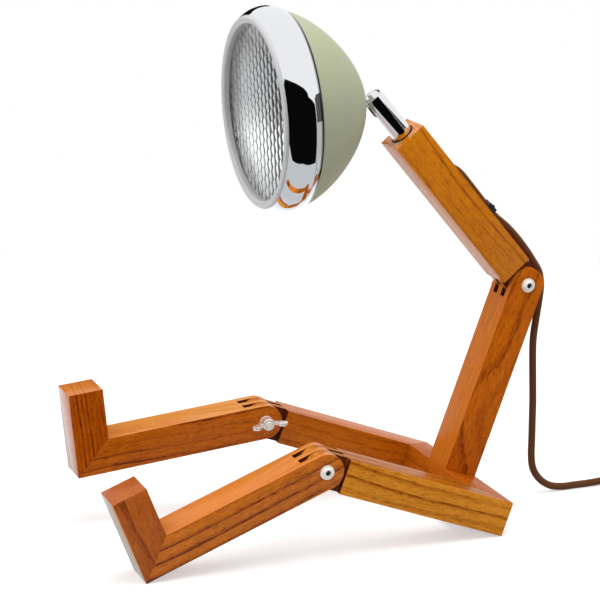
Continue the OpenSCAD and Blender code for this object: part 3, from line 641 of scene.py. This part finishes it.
class LampStage(bpy.types.Operator):
    """Set up the camera, the pale floor, the soft lamps and the white surroundings"""

    bl_idname = "desk_lamp.stage"
    bl_label = "Stage"

    def execute(self, context):
        look = context.scene.desk_lamp_stage
        scene = context.scene
        scene.view_settings.view_transform = "Standard"
        eye = Vector((1.5057, -0.58043, 0.57876))
        turn, lift = math.radians(69.30), math.radians(14.22)
        back = Vector((math.sin(turn) * math.cos(lift), -math.cos(turn) * math.cos(lift), math.sin(lift)))
        lens = bpy.data.cameras.new("camera")
        lens.lens, lens.sensor_width = 137.8, 36.0
        lens.clip_start, lens.clip_end = 0.05, 50.0
        camera = bpy.data.objects.new("camera", lens)
        camera.location = eye
        camera.rotation_mode = "QUATERNION"
        camera.rotation_quaternion = (-back).to_track_quat("-Z", "Y")
        scene.collection.objects.link(camera)
        scene.camera = camera

        deselect()
        bpy.ops.mesh.primitive_plane_add(size=12)
        floor = rename(context.object, "floor")
        f = Finish("white floor", {"Base Color": (0.6, 0.6, 0.6, 1), **DULL})
        x, y, _ = f.split(f.coordinates())
        far = f.ramp((x * x + y * y) ** 0.5, 0.42, 0.95)
        glow, white = self.shine(f, WHITE, look.floor_glow), self.shine(f, WHITE, 1.0)
        lit = f.node("ShaderNodeAddShader")
        near = f.node("ShaderNodeMixShader", values={0: far})
        lit_behind = f.ramp(x * -1.0, 0.0, 0.25) * 0.55 - f.ramp(x * -1.0, 0.8, 1.5) * 0.7
        pale = self.shine(f, (0.94, 0.98, 1, 1), lit_behind + look.mirror_floor)
        mirrored = f.node("ShaderNodeMixShader", values={0: self.paths(f, "Is Glossy Ray")})
        seen = self.paths(f, "Is Camera Ray", "Is Glossy Ray", "Is Transmission Ray")
        mix = f.node("ShaderNodeMixShader", values={0: seen})
        for source, target, slot in (
            (f.shader.outputs[0], lit, 0), (glow.socket, lit, 1), (lit.socket, near, 1),
            (white.socket, near, 2), (near.socket, mirrored, 1), (pale.socket, mirrored, 2),
            (f.shader.outputs[0], mix, 1), (mirrored.socket, mix, 2),
        ):
            f.tree.links.new(source, target.socket.node.inputs[slot])
        f.tree.links.new(mix.socket, f.tree.nodes["Material Output"].inputs[0])
        floor.data.materials.append(f.material)

        world = bpy.data.worlds.new("white room")
        scene.world = world
        world.use_nodes = True
        tree = world.node_tree
        tree.nodes.clear()
        room, white = tree.nodes.new("ShaderNodeBackground"), tree.nodes.new("ShaderNodeBackground")
        room.inputs["Color"].default_value = WHITE
        room.inputs["Strength"].default_value = look.room
        white.inputs["Color"].default_value = WHITE
        white.inputs["Strength"].default_value = 1.0
        path = tree.nodes.new("ShaderNodeLightPath")
        share = Wire(tree, path.outputs["Is Camera Ray"]).top(Wire(tree, path.outputs["Is Glossy Ray"]))
        share = share.top(Wire(tree, path.outputs["Is Transmission Ray"]))
        mix, out = tree.nodes.new("ShaderNodeMixShader"), tree.nodes.new("ShaderNodeOutputWorld")
        tree.links.new(share.socket, mix.inputs[0])
        tree.links.new(room.outputs[0], mix.inputs[1])
        tree.links.new(white.outputs[0], mix.inputs[2])
        tree.links.new(mix.outputs[0], out.inputs[0])

        self.softbox(scene, "key", (1.1, -1.3, 1.7), (0, 0.0, 0.15), 2.0, look.key)
        self.softbox(scene, "fill", (-0.9, -1.5, 1.2), (0, 0.0, 0.18), 1.8, look.fill)
        self.softbox(scene, "top", (0.1, 0.3, 2.0), (0, 0.05, 0.1), 1.5, look.top)
        edge = [
            (0.29, -0.48), (0.24, -0.3), (0.275, -0.16), (0.3, -0.05), (0.275, 0.1), (0.23, 0.25),
            (0.39, 0.36), (0.71, 0.62),
        ]
        corners = [*edge, (WALL_X, 2.33), (WALL_X, -7.3)]
        self.curtain("dark_floor_card", 0.003, [(x, y, 0.001) for x, y in corners])
        wall = [
            (-7.3, 4.25), (-2.32, 2.58), (-0.68, 2.1), (0.33, 1.82), (0.88, 1.57), (1.6, 1.37), (2.1, 1.18),
            (2.33, 1.0), (2.33, 0), (-7.3, 0),
        ]
        self.curtain("dark_wall_card", 0.003, [(WALL_X, y, z) for y, z in wall])
        corners = [(WALL_X, 2.45, 0), (0.5, 3.2, 0), (0.5, 3.2, 1.04), (WALL_X, 2.45, 1.38)]
        self.curtain("grey_wall_card", 0.09, corners)
        corners = [*edge[-3:], (WALL_X, 2.4), (0.5, 3.2), (0.1, 0.6), (0.12, 0.35)]
        self.curtain("grey_floor_card", 0.53, [(x, y, 0.0008) for x, y in corners])
        back = [(-0.14, 0), (0.62, 0), (0.6, 0.8), (-0.14, 0.95)]
        self.curtain("back_card", 0.004, [(-1.75, y, z) for y, z in back])
        return {"FINISHED"}

    @staticmethod
    def shine(f, colour, strength):
        return f.node("ShaderNodeEmission", values={"Color": colour, "Strength": strength})

    @staticmethod
    def paths(f, *names):
        """1 for rays that came in one of the named ways."""
        path = f.node("ShaderNodeLightPath").socket.node.outputs
        share = Wire(f.tree, path[names[0]])
        for name in names[1:]:
            share = share.top(Wire(f.tree, path[name]))
        return share

    @staticmethod
    def softbox(scene, name, spot, aim, size, watts):
        light = bpy.data.lights.new(name, "AREA")
        light.shape, light.size, light.energy = "SQUARE", size, watts
        lamp = bpy.data.objects.new(name, light)
        lamp.location = spot
        lamp.rotation_mode = "QUATERNION"
        lamp.rotation_quaternion = (Vector(aim) - Vector(spot)).to_track_quat("-Z", "Y")
        lamp.visible_glossy = False
        scene.collection.objects.link(lamp)

    @staticmethod
    def curtain(name, tone, corners):
        """A card of one grey tone that only polished surfaces see."""
        card = polygon(name, corners)
        f = Finish(name, {"Base Color": (0, 0, 0, 1), **DULL})
        f.shader.inputs["Emission Color"].default_value = (tone, tone, tone, 1)
        f.shader.inputs["Emission Strength"].default_value = 1.0
        card.data.materials.append(f.material)
        card.visible_camera = card.visible_diffuse = card.visible_shadow = False
        card.visible_transmission = card.visible_volume_scatter = False


# ---------- timber

ALONG_Y = about("X", 90)
NEG_Y, TOP, END = (0, -1, 0), (0, 1, 0), (0, 0, 1)
LEFT, RIGHT = "lower_leg_left", "lower_leg_right"
BARS = {
    # node: body, joint, grain frame, ring pitch mm, slant, ring strength, seed, lacquer, early and late wood
    "hip_bar": ("base", None, SEAT @ about("Y", 90), 6.2, 62, 0.5, 3.1, 0.04, "b85c10", "742e00"),
    "thigh_left": ("base", KNEE_YZ, SEAT @ ALONG_Y, 7.4, 60, 0.9, 7.7, 0.1, "d88a28", "8a4200"),
    "thigh_right": ("base", KNEE_YZ, SEAT @ ALONG_Y, 6.6, 72, 0.6, 12.3, 0.14, "cc6c0c", "803600"),
    "torso": ("base", WAIST_YZ, TORSO, 2.6, 8, 0.75, 5.9, 0.1, "c8660c", "762600"),
    "chest": ("upper_body", WAIST_YZ, CHEST, 6.4, 75, 0.8, 1.7, 0.22, "d77e04", "944400"),
    "shin_left": (LEFT, KNEE_YZ, KNEE["left"], 8.4, 80, 1.0, 9.2, 0.3, "ce7018", "6c2600"),
    "shin_right": (RIGHT, KNEE_YZ, KNEE["right"], 7.6, 84, 1.0, 4.4, 0.2, "cc6804", "702400"),
    "foot_left": (LEFT, None, KNEE["left"] @ ALONG_Y, 3.4, 6, 1.0, 6.6, 0.14, "b45a14", "722a00"),
    "foot_right": (RIGHT, None, KNEE["right"] @ ALONG_Y, 3.2, 86, 1.2, 2.2, 0.1, "ba5600", "581a00"),
}
# the sides of a bar's grain frame that are paler, darker or shinier than the rest: side, paleness, lacquer.
# Paleness is partly the timber's figure and partly painted light on that side, painted shade where below 0
FACES = {
    "thigh_left": [(TOP, -0.55, 0.06)],
    "thigh_right": [(TOP, -0.1, 0.12)],
    "torso": [(NEG_Y, 0.42, 0.16)],
    "chest": [(END, 0.0, 1.0)],
    "shin_left": [(NEG_Y, 0.3, 0.3)],
    "shin_right": [(NEG_Y, 0.75, 0.3)],
    "foot_left": [(NEG_Y, 0.9, 1.0), (END, 0.0, 0.14)],
    "foot_right": [(NEG_Y, 0.35, 1.0), (END, 0.65, 0.4)],
}


def darken_slots(bar, joint, rim=1.2, reach=27, inside=0.9, facing=0.7):
    """Gives the walls and floors of the slots between a bar's fingers its darker second finish, partly
    end grain and partly painted shade. They are the faces within reach of the joint that look
    sideways or towards it, clear of the bar's own sides."""
    places = [vertex.co.x / MM for vertex in bar.data.vertices]
    low, high = min(places) + rim, max(places) - rim
    for face in bar.data.polygons:
        here = face.center / MM
        toward = Vector((0, joint[0] - here.y, joint[1] - here.z))
        hidden = abs(face.normal.x) > inside or face.normal.dot(toward.normalized()) > facing
        if low < here.x < high and toward.length < reach and hidden:
            face.material_index = 1


class LampTimber(bpy.types.Operator):
    """Round the edges of the timber bars and oil them"""

    bl_idname = "desk_lamp.timber"
    bl_label = "Timber"

    def execute(self, context):
        look = context.scene.desk_lamp_timber
        # darker wood for the slots between the fingers: partly end grain, partly painted shade
        early, late = written("5c2206"), written("341000")
        slot_shade_wood = timber_finish("shaded slot timber", SEAT, early, late, 0.004, 20, 0.4, 1.0, 0.6)
        for node, (body, joint, grain, pitch, slant, lines, seed, coat, early, late) in BARS.items():
            bar = soften(copy_of(node, f"timber_{node}"), look.edge / MM, 3, 30)
            light = [a * b for a, b in zip(written(early), look.light)]
            dark = [a * b for a, b in zip(written(late), look.dark)]
            wood = timber_finish(
                f"timber {node}", grain, light, dark, pitch * MM, slant, lines, seed, look.gloss, coat,
                FACES.get(node, ()),
            )
            fit(bar, body, "timber", wood, node)
            if joint:
                bar.data.materials.append(slot_shade_wood)
                darken_slots(bar, joint)
        early, late = (0.55, 0.38, 0.22), (0.4, 0.26, 0.14)
        plain = timber_finish("dowel wood", SEAT, early, late, 0.002, 10, 0.3, 1.0, 0.6)
        dress(plain, "hip_dowels", "torso_dowels", "foot_dowels_left", "foot_dowels_right")
        return {"FINISHED"}


# ---------- fittings


class LampFittings(bpy.types.Operator):
    """Finish the bolts, washers and wing nuts of the three joints"""

    bl_idname = "desk_lamp.fittings"
    bl_label = "Bolts and wing nuts"

    def execute(self, context):
        look = context.scene.desk_lamp_metal
        nickel = metal_finish("bright nickel", look.nickel, 0.3, metallic=0.25)
        cast = metal_finish("cast nickel", look.nickel, 0.26, metallic=0.75)
        # painted shade inside the hex sockets of the bolt heads
        socket = ("r", 1.7 * MM, 2.2 * MM)
        for spot, body, nut_body, place in (
            ("knee_{}_left", "lower_leg_left", "nut_knee_left", KNEE["left"] @ about("Y", 90)),
            ("knee_{}_right", "lower_leg_right", "nut_knee_right", KNEE["right"] @ about("Y", -90)),
            ("waist_{}", "base", "nut_waist", TORSO @ about("Y", 90)),
        ):
            bolt, washers, wing_nut = [spot.format(kind) for kind in ("bolt", "washers", "nut")]
            steel = metal_finish(f"nickel {bolt}", look.nickel, 0.3, 0, place, 0.25, socket)
            refit(bolt, f"screw_{bolt}", body, "plated_steel", steel, 0.3, 3, 25)
            refit(washers, f"disc_{washers}", body, "plated_steel", nickel, 0.25, 3, 25)
            nut = copy_of(wing_nut, f"wings_{wing_nut}")
            melt(nut, 0.00028, 0.6, 9)
            modify(nut, "DECIMATE", ratio=0.5)
            fit(nut, nut_body, "plated_steel", cast, wing_nut)
            smooth_below(60)
        return {"FINISHED"}


class LampNeck(bpy.types.Operator):
    """Finish the slotted neck tube, its ball and stud and the bushes round them"""

    bl_idname = "desk_lamp.neck"
    bl_label = "Neck"

    def execute(self, context):
        look = context.scene.desk_lamp_metal
        chrome = metal_finish("neck chrome", look.chrome, 0.035)
        refit("neck_tube", "neck", "neck", "chrome", chrome, 0.3, 3, 40)
        ball_r, stud_r, bore_r, stud_end, steps = 6.5, 3.0, 1.6, 26.0, 20
        start, end = math.asin(stud_r / ball_r), math.pi - math.asin(bore_r / ball_r)
        arc = [
            (ball_r * math.sin(a), ball_r * math.cos(a))
            for a in [start + (end - start) * i / steps for i in range(steps + 1)]
        ]
        outline = [(bore_r, stud_end), (bore_r, arc[-1][1]), *reversed(arc), (stud_r, stud_end)]
        stud = turned("ball_and_stud", outline, HEAD, 64)
        fit(stud, "head", "chrome", chrome, "ball_stud")
        black = moulding_finish("bearing plastic", (0.015, 0.015, 0.015), 0.45)
        refit("neck_bush", "bush", "upper_body", "bearing_plastic", black, 0.3)
        dress(moulding_finish("ball seat plastic", (0.02, 0.02, 0.02), 0.4), "ball_seat")
        return {"FINISHED"}


# ---------- head

SHADE_R, SHADE_H, CROWN = 69.6, 56.0, 10.1
MOUTH = CROWN + SHADE_H
BEZEL_R, BEZEL_MID, BEZEL_END, BEZEL_ROUND, BEZEL_WALL = 74.0, 77.0, 91.2, 21.0, 1.3
GLASS_FRONT, GLASS_BACK, GLASS_R = 88.6, 84.6, 66.07
RIM_R, WINDOW_R, BEAD_MID = 63.17, 62.37, 65.27


def bezel_edge(d):
    return BEZEL_R - BEZEL_ROUND + math.sqrt(BEZEL_ROUND ** 2 - (d - BEZEL_MID) ** 2)


def dome_line(radius, height, low, steps=40):
    start = math.asin(5.5 / radius)
    made = []
    for i in range(steps + 1):
        x = radius * math.sin(start + (math.pi / 2 - start) * i / steps)
        rise = height * (1 - (1 - min(x / radius, 1) ** 1.798) ** 0.744)
        made.append((x, low + (0 if i == 0 else rise)))
    return made


class LampShade(bpy.types.Operator):
    """Spin the painted shade with its rolled mouth"""

    bl_idname = "desk_lamp.shade"
    bl_label = "Shade"

    def execute(self, context):
        look = context.scene.desk_lamp_head
        outer = dome_line(SHADE_R, SHADE_H, CROWN)
        inner = dome_line(SHADE_R - 1.2, SHADE_H - 1.2, CROWN + 1.2)
        outline = [(3.1, CROWN), *outer, *reversed(inner), (3.1, CROWN + 1.2)]
        shade = turned("shade_shell", outline, HEAD, 160)
        fit(shade, "head", "green_paint", paint_finish("sage green", look.paint, 0.6, 0.25), "shade")
        steel = metal_finish("washer steel", (0.75, 0.75, 0.73), 0.2)
        refit("stud_washers", "stud_discs", "head", "plated_steel", steel, 0.2)
        dress(steel, "stud_nut")
        return {"FINISHED"}


class LampBezel(bpy.types.Operator):
    """Spin the chrome bezel and the satin bead round the window, and finish the gasket behind"""

    bl_idname = "desk_lamp.bezel"
    bl_label = "Bezel"

    def execute(self, context):
        look = context.scene.desk_lamp_metal
        steps = 22
        heights = [BEZEL_MID + (BEZEL_END - BEZEL_MID) * i / steps for i in range(steps + 1)]
        front = [(bezel_edge(d), d) for d in heights]
        rear = [
            (67.2, MOUTH - 2.9), (67.2, MOUTH), (70.1, MOUTH), (70.35, MOUTH + 0.06), (70.6, MOUTH + 0.35),
            (72.85, 71.55), (73.0, 71.95), (73.1, 72.4),
        ]
        lip = BEZEL_END - BEZEL_WALL
        inside = [(r - BEZEL_WALL, d) for r, d in reversed(front) if d <= lip]
        outline = [
            *rear, *front, (RIM_R, BEZEL_END), (RIM_R, lip), (bezel_edge(lip) - BEZEL_WALL, lip), *inside,
            (71.7, 72.4), (69.6, MOUTH + BEZEL_WALL), (65.9, MOUTH + BEZEL_WALL), (65.9, MOUTH - 2.9),
        ]
        bezel = turned("bezel_rim", outline, HEAD, 160, 24)
        # painted shadow along the bezel's rear edge, where it meets the dome
        seam_shadow = ("z", (MOUTH + 1.0) * MM, (MOUTH + 3.2) * MM)
        chrome = metal_finish("bezel chrome", look.chrome, 0.03, 0, HEAD, 1.0, seam_shadow)
        fit(bezel, "head", "chrome", chrome, "bezel")
        turns = [math.pi * i / 18 for i in range(19)]
        bead = [(BEAD_MID + 2.9 * math.cos(a), BEZEL_END + 2.3 * math.sin(a)) for a in turns]
        low, wall = GLASS_FRONT + 0.1, WINDOW_R + 0.7
        outline = [*bead, (WINDOW_R, low), (wall, low), (wall, BEZEL_END)]
        ring = turned("window_bead", outline, HEAD, 160, 50)
        satin = metal_finish("satin bead", look.satin, 0.38, 0.3, HEAD, 0.2)
        fit(ring, "head", "satin_ring", satin, "bead_ring")
        dress(moulding_finish("gasket rubber", (0.02, 0.02, 0.02), 0.6), "glass_gasket")
        return {"FINISHED"}


class LampLens(bpy.types.Operator):
    """Press the window glass, with its elongated hexagonal lenses on the inside"""

    bl_idname = "desk_lamp.lens"
    bl_label = "Window glass"

    def execute(self, context):
        look = context.scene.desk_lamp_head
        side, tall = look.cell_side / MM, look.cell_tall / MM
        column, relief = 1.5 * side, look.cell_relief / MM
        corners = [
            (side, 0), (side / 2, tall / 2), (-side / 2, tall / 2), (-side, 0), (-side / 2, -tall / 2),
            (side / 2, -tall / 2),
        ]
        cell = polygon("lens_cells", [(x * MM, y * MM, 0) for x, y in corners])
        editing(cell)
        for inset, rise in ((0.1, 0.3), (0.13, 0.28), (0.15, 0.2), (0.17, 0.14), (0.2, 0.08)):
            bpy.ops.mesh.inset(thickness=inset * tall / 2 * MM, depth=rise * relief * MM)
        take_all()
        bpy.ops.mesh.duplicate_move(TRANSFORM_OT_translate={"value": (column * MM, tall / 2 * MM, 0)})
        done()
        for count, shift in (
            (math.ceil(134 / (2 * column)), (2 * column * MM, 0, 0)),
            (math.ceil(138 / tall), (0, tall * MM, 0)),
        ):
            modify(
                cell, "ARRAY", count=count, use_relative_offset=False, use_constant_offset=True,
                constant_offset_displace=shift, use_merge_vertices=True, merge_threshold=0.00002,
            )
        middle = sum((Vector(c) for c in cell.bound_box), Vector()) / 8
        cell.location = (-middle.x, -middle.y, 0)
        settle(cell)
        editing(cell)
        bpy.ops.mesh.remove_doubles(threshold=0.00002)
        bpy.ops.mesh.extrude_region_move(TRANSFORM_OT_translate={"value": (0, 0, -0.004)})
        bpy.ops.transform.resize(value=(1, 1, 0), center_override=(0, 0, -0.0015))
        take_all()
        bpy.ops.mesh.normals_make_consistent(inside=False)
        done()
        deselect()
        bpy.ops.mesh.primitive_cylinder_add(vertices=128, radius=61.6 * MM, depth=0.02)
        cutter = bpy.context.object
        modify(cell, "BOOLEAN", operation="INTERSECT", object=cutter, solver="EXACT")
        bpy.data.objects.remove(cutter)
        thick = GLASS_FRONT - GLASS_BACK - relief - 0.02
        deselect()
        bpy.ops.mesh.primitive_cylinder_add(
            vertices=160, radius=(GLASS_R - 0.02) * MM, depth=thick * MM, location=(0, 0, -thick / 2 * MM)
        )
        pane = settle(rename(bpy.context.object, "window_glass"))
        square = math.radians(40)
        modify(pane, "BEVEL", width=0.4 * MM, segments=2, limit_method="ANGLE", angle_limit=square)
        modify(pane, "BOOLEAN", operation="UNION", object=cell, solver="EXACT")
        bpy.data.objects.remove(cell)
        editing(pane)
        bpy.ops.mesh.remove_doubles(threshold=0.000003)
        bpy.ops.mesh.normals_make_consistent(inside=False)
        done()
        settle(pane, HEAD @ at(0, 0, GLASS_FRONT - thick) @ about("X", 180))
        smooth_below(28)
        fit(pane, "head", "clear_glass", glass_finish("pressed glass", (0.995, 1, 1), 0.02), "glass")
        return {"FINISHED"}


class LampReflector(bpy.types.Operator):
    """Spin the reflector bowl and finish the bulb and its holder"""

    bl_idname = "desk_lamp.reflector"
    bl_label = "Reflector and bulb"

    def execute(self, context):
        look = context.scene.desk_lamp_metal
        steps, hole, dish_r, depth = 30, 15.0, GLASS_R - 1, 48.0
        flange = bezel_edge(GLASS_BACK) - 1.6
        line = [hole + (dish_r - hole) * i / steps for i in range(steps + 1)]
        front = [(x, GLASS_BACK - depth + depth * (x / dish_r) ** 2) for x in line]
        back = [(x + 0.8, h - 0.8) for x, h in reversed(front)]
        outline = [*front, (flange, GLASS_BACK), (flange, GLASS_BACK - 0.8), *back]
        bowl = turned("reflector_bowl", outline, HEAD, 128, 40)
        bright = metal_finish("bright aluminium", look.reflector, 0.34, 0, HEAD)
        fit(bowl, "head", "reflector", bright, "reflector")
        dress(metal_finish("spring steel", (0.6, 0.6, 0.6), 0.3), "reflector_clip")
        dress(moulding_finish("holder moulding", (0.75, 0.73, 0.68), 0.5), "lampholder")
        dress(metal_finish("screw cap", (0.75, 0.66, 0.42), 0.25), "bulb_cap")
        bulb_r, low, length = 12.5, 44.0, 34.0
        turns = [math.pi / 2 * i / 14 for i in range(15)]
        cap = [(bulb_r * math.cos(a), low + length - bulb_r + bulb_r * math.sin(a)) for a in turns]
        neck = [(7.0, low), (8.2, low + 1.2), (10.6, low + 3.6), (12.0, low + 5.6), (12.5, low + 8)]
        bulb = turned("bulb", [(0, low), *neck, *cap], HEAD, 64, 50)
        f = Finish("frosted bulb", {"Roughness": 0.35})
        frost = f.noise(f.coordinates(), 90.0, 2.0)
        f.feed("Base Color", f.blend(frost, (0.93, 0.92, 0.88, 1), (0.88, 0.87, 0.83, 1)))
        fit(bulb, "head", "frosted_glass", f.material, "bulb_glass")
        return {"FINISHED"}


# ---------- switch and plug


class LampSwitch(bpy.types.Operator):
    """Finish the switch on the cord and its rocker"""

    bl_idname = "desk_lamp.switch"
    bl_label = "Cord switch"

    def execute(self, context):
        look = context.scene.desk_lamp_cord
        black = moulding_finish("switch housing", look.plastic, 0.45)
        refit("switch_base", "switch_lower", "base", "black_plastic", black, 0.9, 3, 40)
        refit("switch_cover", "switch_upper", "base", "black_plastic", black, 0.9, 3, 40)
        grey = moulding_finish("rocker", [c * 1.8 for c in look.plastic], 0.35, 0.05)
        refit("switch_rocker", "rocker_key", "rocker", "black_plastic", grey, 0.5, 3, 25)
        return {"FINISHED"}


class LampPlug(bpy.types.Operator):
    """Finish the mains plug at the far end of the cord"""

    bl_idname = "desk_lamp.plug"
    bl_label = "Plug"

    def execute(self, context):
        look = context.scene.desk_lamp_cord
        body = copy_of("plug_body", "plug_grip")
        melt(body, 0.0006, 0.7, 8)
        rubber = moulding_finish("plug rubber", look.plastic, 0.55, 0.3)
        fit(body, "base", "black_plastic", rubber, "plug_body")
        smooth_below(60)
        pins = metal_finish("pin nickel", (0.8, 0.79, 0.74), 0.15)
        refit("plug_pins", "plug_prongs", "base", "plated_steel", pins, 0.3)
        return {"FINISHED"}


# ---------- what a user would change


COLOUR = {"subtype": "COLOR", "min": 0, "max": 1}


class TimberLook(bpy.types.PropertyGroup):
    """Timber of the bars"""

    edge: bpy.props.FloatProperty(
        name="Edge radius", description="Rounding of the bars' edges",
        default=0.0005, min=0.0, max=0.003, unit="LENGTH",
    )
    light: bpy.props.FloatVectorProperty(
        name="Early wood tint", description="Tint over the lighter grain",
        default=(1, 1, 1), **COLOUR,
    )
    dark: bpy.props.FloatVectorProperty(
        name="Late wood tint", description="Tint over the darker grain",
        default=(1, 1, 1), **COLOUR,
    )
    gloss: bpy.props.FloatProperty(
        name="Lacquer roughness", description="Roughness of the lacquered surface",
        default=0.34, min=0.05, max=1, subtype="FACTOR",
    )


class MetalLook(bpy.types.PropertyGroup):
    """Plated and polished metal"""

    chrome: bpy.props.FloatVectorProperty(
        name="Chrome", description="Colour of the chrome plate",
        default=(0.82, 0.83, 0.85), **COLOUR,
    )
    nickel: bpy.props.FloatVectorProperty(
        name="Nickel", description="Colour of the bolts and wing nuts",
        default=(1.0, 0.97, 0.91), **COLOUR,
    )
    satin: bpy.props.FloatVectorProperty(
        name="Satin bead", description="Colour of the ring round the window",
        default=(0.55, 0.55, 0.56), **COLOUR,
    )
    reflector: bpy.props.FloatVectorProperty(
        name="Reflector", description="Colour of the reflector bowl",
        default=(0.86, 0.86, 0.86), **COLOUR,
    )


class HeadLook(bpy.types.PropertyGroup):
    """Painted shade and pressed glass"""

    paint: bpy.props.FloatVectorProperty(
        name="Paint", description="Colour of the shade",
        default=(0.40, 0.42, 0.28), **COLOUR,
    )
    cell_side: bpy.props.FloatProperty(
        name="Lens side", description="Side of one hexagonal lens in the glass",
        default=0.005, min=0.002, max=0.01, unit="LENGTH",
    )
    cell_tall: bpy.props.FloatProperty(
        name="Lens height", description="Height of one lens between its flats",
        default=0.0082, min=0.004, max=0.02, unit="LENGTH",
    )
    cell_relief: bpy.props.FloatProperty(
        name="Lens relief", description="Height of one lens's crown",
        default=0.0006, min=0.0002, max=0.002, unit="LENGTH",
    )


class CordLook(bpy.types.PropertyGroup):
    """Cord, switch and plug"""

    dark: bpy.props.FloatVectorProperty(
        name="Braid", description="Main colour of the braid",
        default=(0.062, 0.016, 0.004), **COLOUR,
    )
    light: bpy.props.FloatVectorProperty(
        name="Braid fleck", description="Worn and fluffy threads",
        default=(0.34, 0.16, 0.07), **COLOUR,
    )
    plastic: bpy.props.FloatVectorProperty(
        name="Plastic", description="Colour of switch, plug and clip",
        default=(0.02, 0.02, 0.021), **COLOUR,
    )


class StageLook(bpy.types.PropertyGroup):
    """Light on the lamp"""

    key: bpy.props.FloatProperty(
        name="Key", description="Softbox beside the camera",
        default=12, min=0, subtype="POWER",
    )
    fill: bpy.props.FloatProperty(
        name="Fill", description="Softbox in front of the lamp",
        default=10, min=0, subtype="POWER",
    )
    top: bpy.props.FloatProperty(
        name="Top", description="Softbox overhead",
        default=30, min=0, subtype="POWER",
    )
    room: bpy.props.FloatProperty(
        name="Room", description="Even light from all round",
        default=0.55, min=0, max=2,
    )
    floor_glow: bpy.props.FloatProperty(
        name="Floor white", description="Lift that makes the floor white",
        default=0.5, min=0, max=1,
    )
    mirror_floor: bpy.props.FloatProperty(
        name="Mirrored floor", description="Floor as polished metal shows it",
        default=0.66, min=0, max=1,
    )


LOOKS = {
    "desk_lamp_timber": TimberLook,
    "desk_lamp_metal": MetalLook,
    "desk_lamp_head": HeadLook,
    "desk_lamp_cord": CordLook,
    "desk_lamp_stage": StageLook,
}
STEPS = (
    LampStage, LampSwitch, LampPlug, LampCord, LampTimber, LampFittings, LampNeck, LampShade, LampBezel,
    LampLens, LampReflector,
)


class VIEW3D_PT_desk_lamp(bpy.types.Panel):
    """Sizes, colours and building steps of the desk lamp"""

    bl_label = "Desk Lamp"
    bl_space_type = "VIEW_3D"
    bl_region_type = "UI"
    bl_category = "Desk Lamp"

    def draw(self, context):
        for name, look in LOOKS.items():
            box = self.layout.box()
            for entry in look.__annotations__:
                box.prop(getattr(context.scene, name), entry)
        for step in STEPS:
            self.layout.operator(step.bl_idname)


CLASSES = (*LOOKS.values(), *STEPS, VIEW3D_PT_desk_lamp)


def register():
    for cls in CLASSES:
        bpy.utils.register_class(cls)
    for name, look in LOOKS.items():
        setattr(bpy.types.Scene, name, bpy.props.PointerProperty(type=look))


def unregister():
    for name in LOOKS:
        delattr(bpy.types.Scene, name)
    for cls in reversed(CLASSES):
        bpy.utils.unregister_class(cls)


def main():
    register()
    deselect()
    for step in STEPS:
        group, name = step.bl_idname.split(".")
        getattr(getattr(bpy.ops, group), name)()


if __name__ == "__main__":
    main()
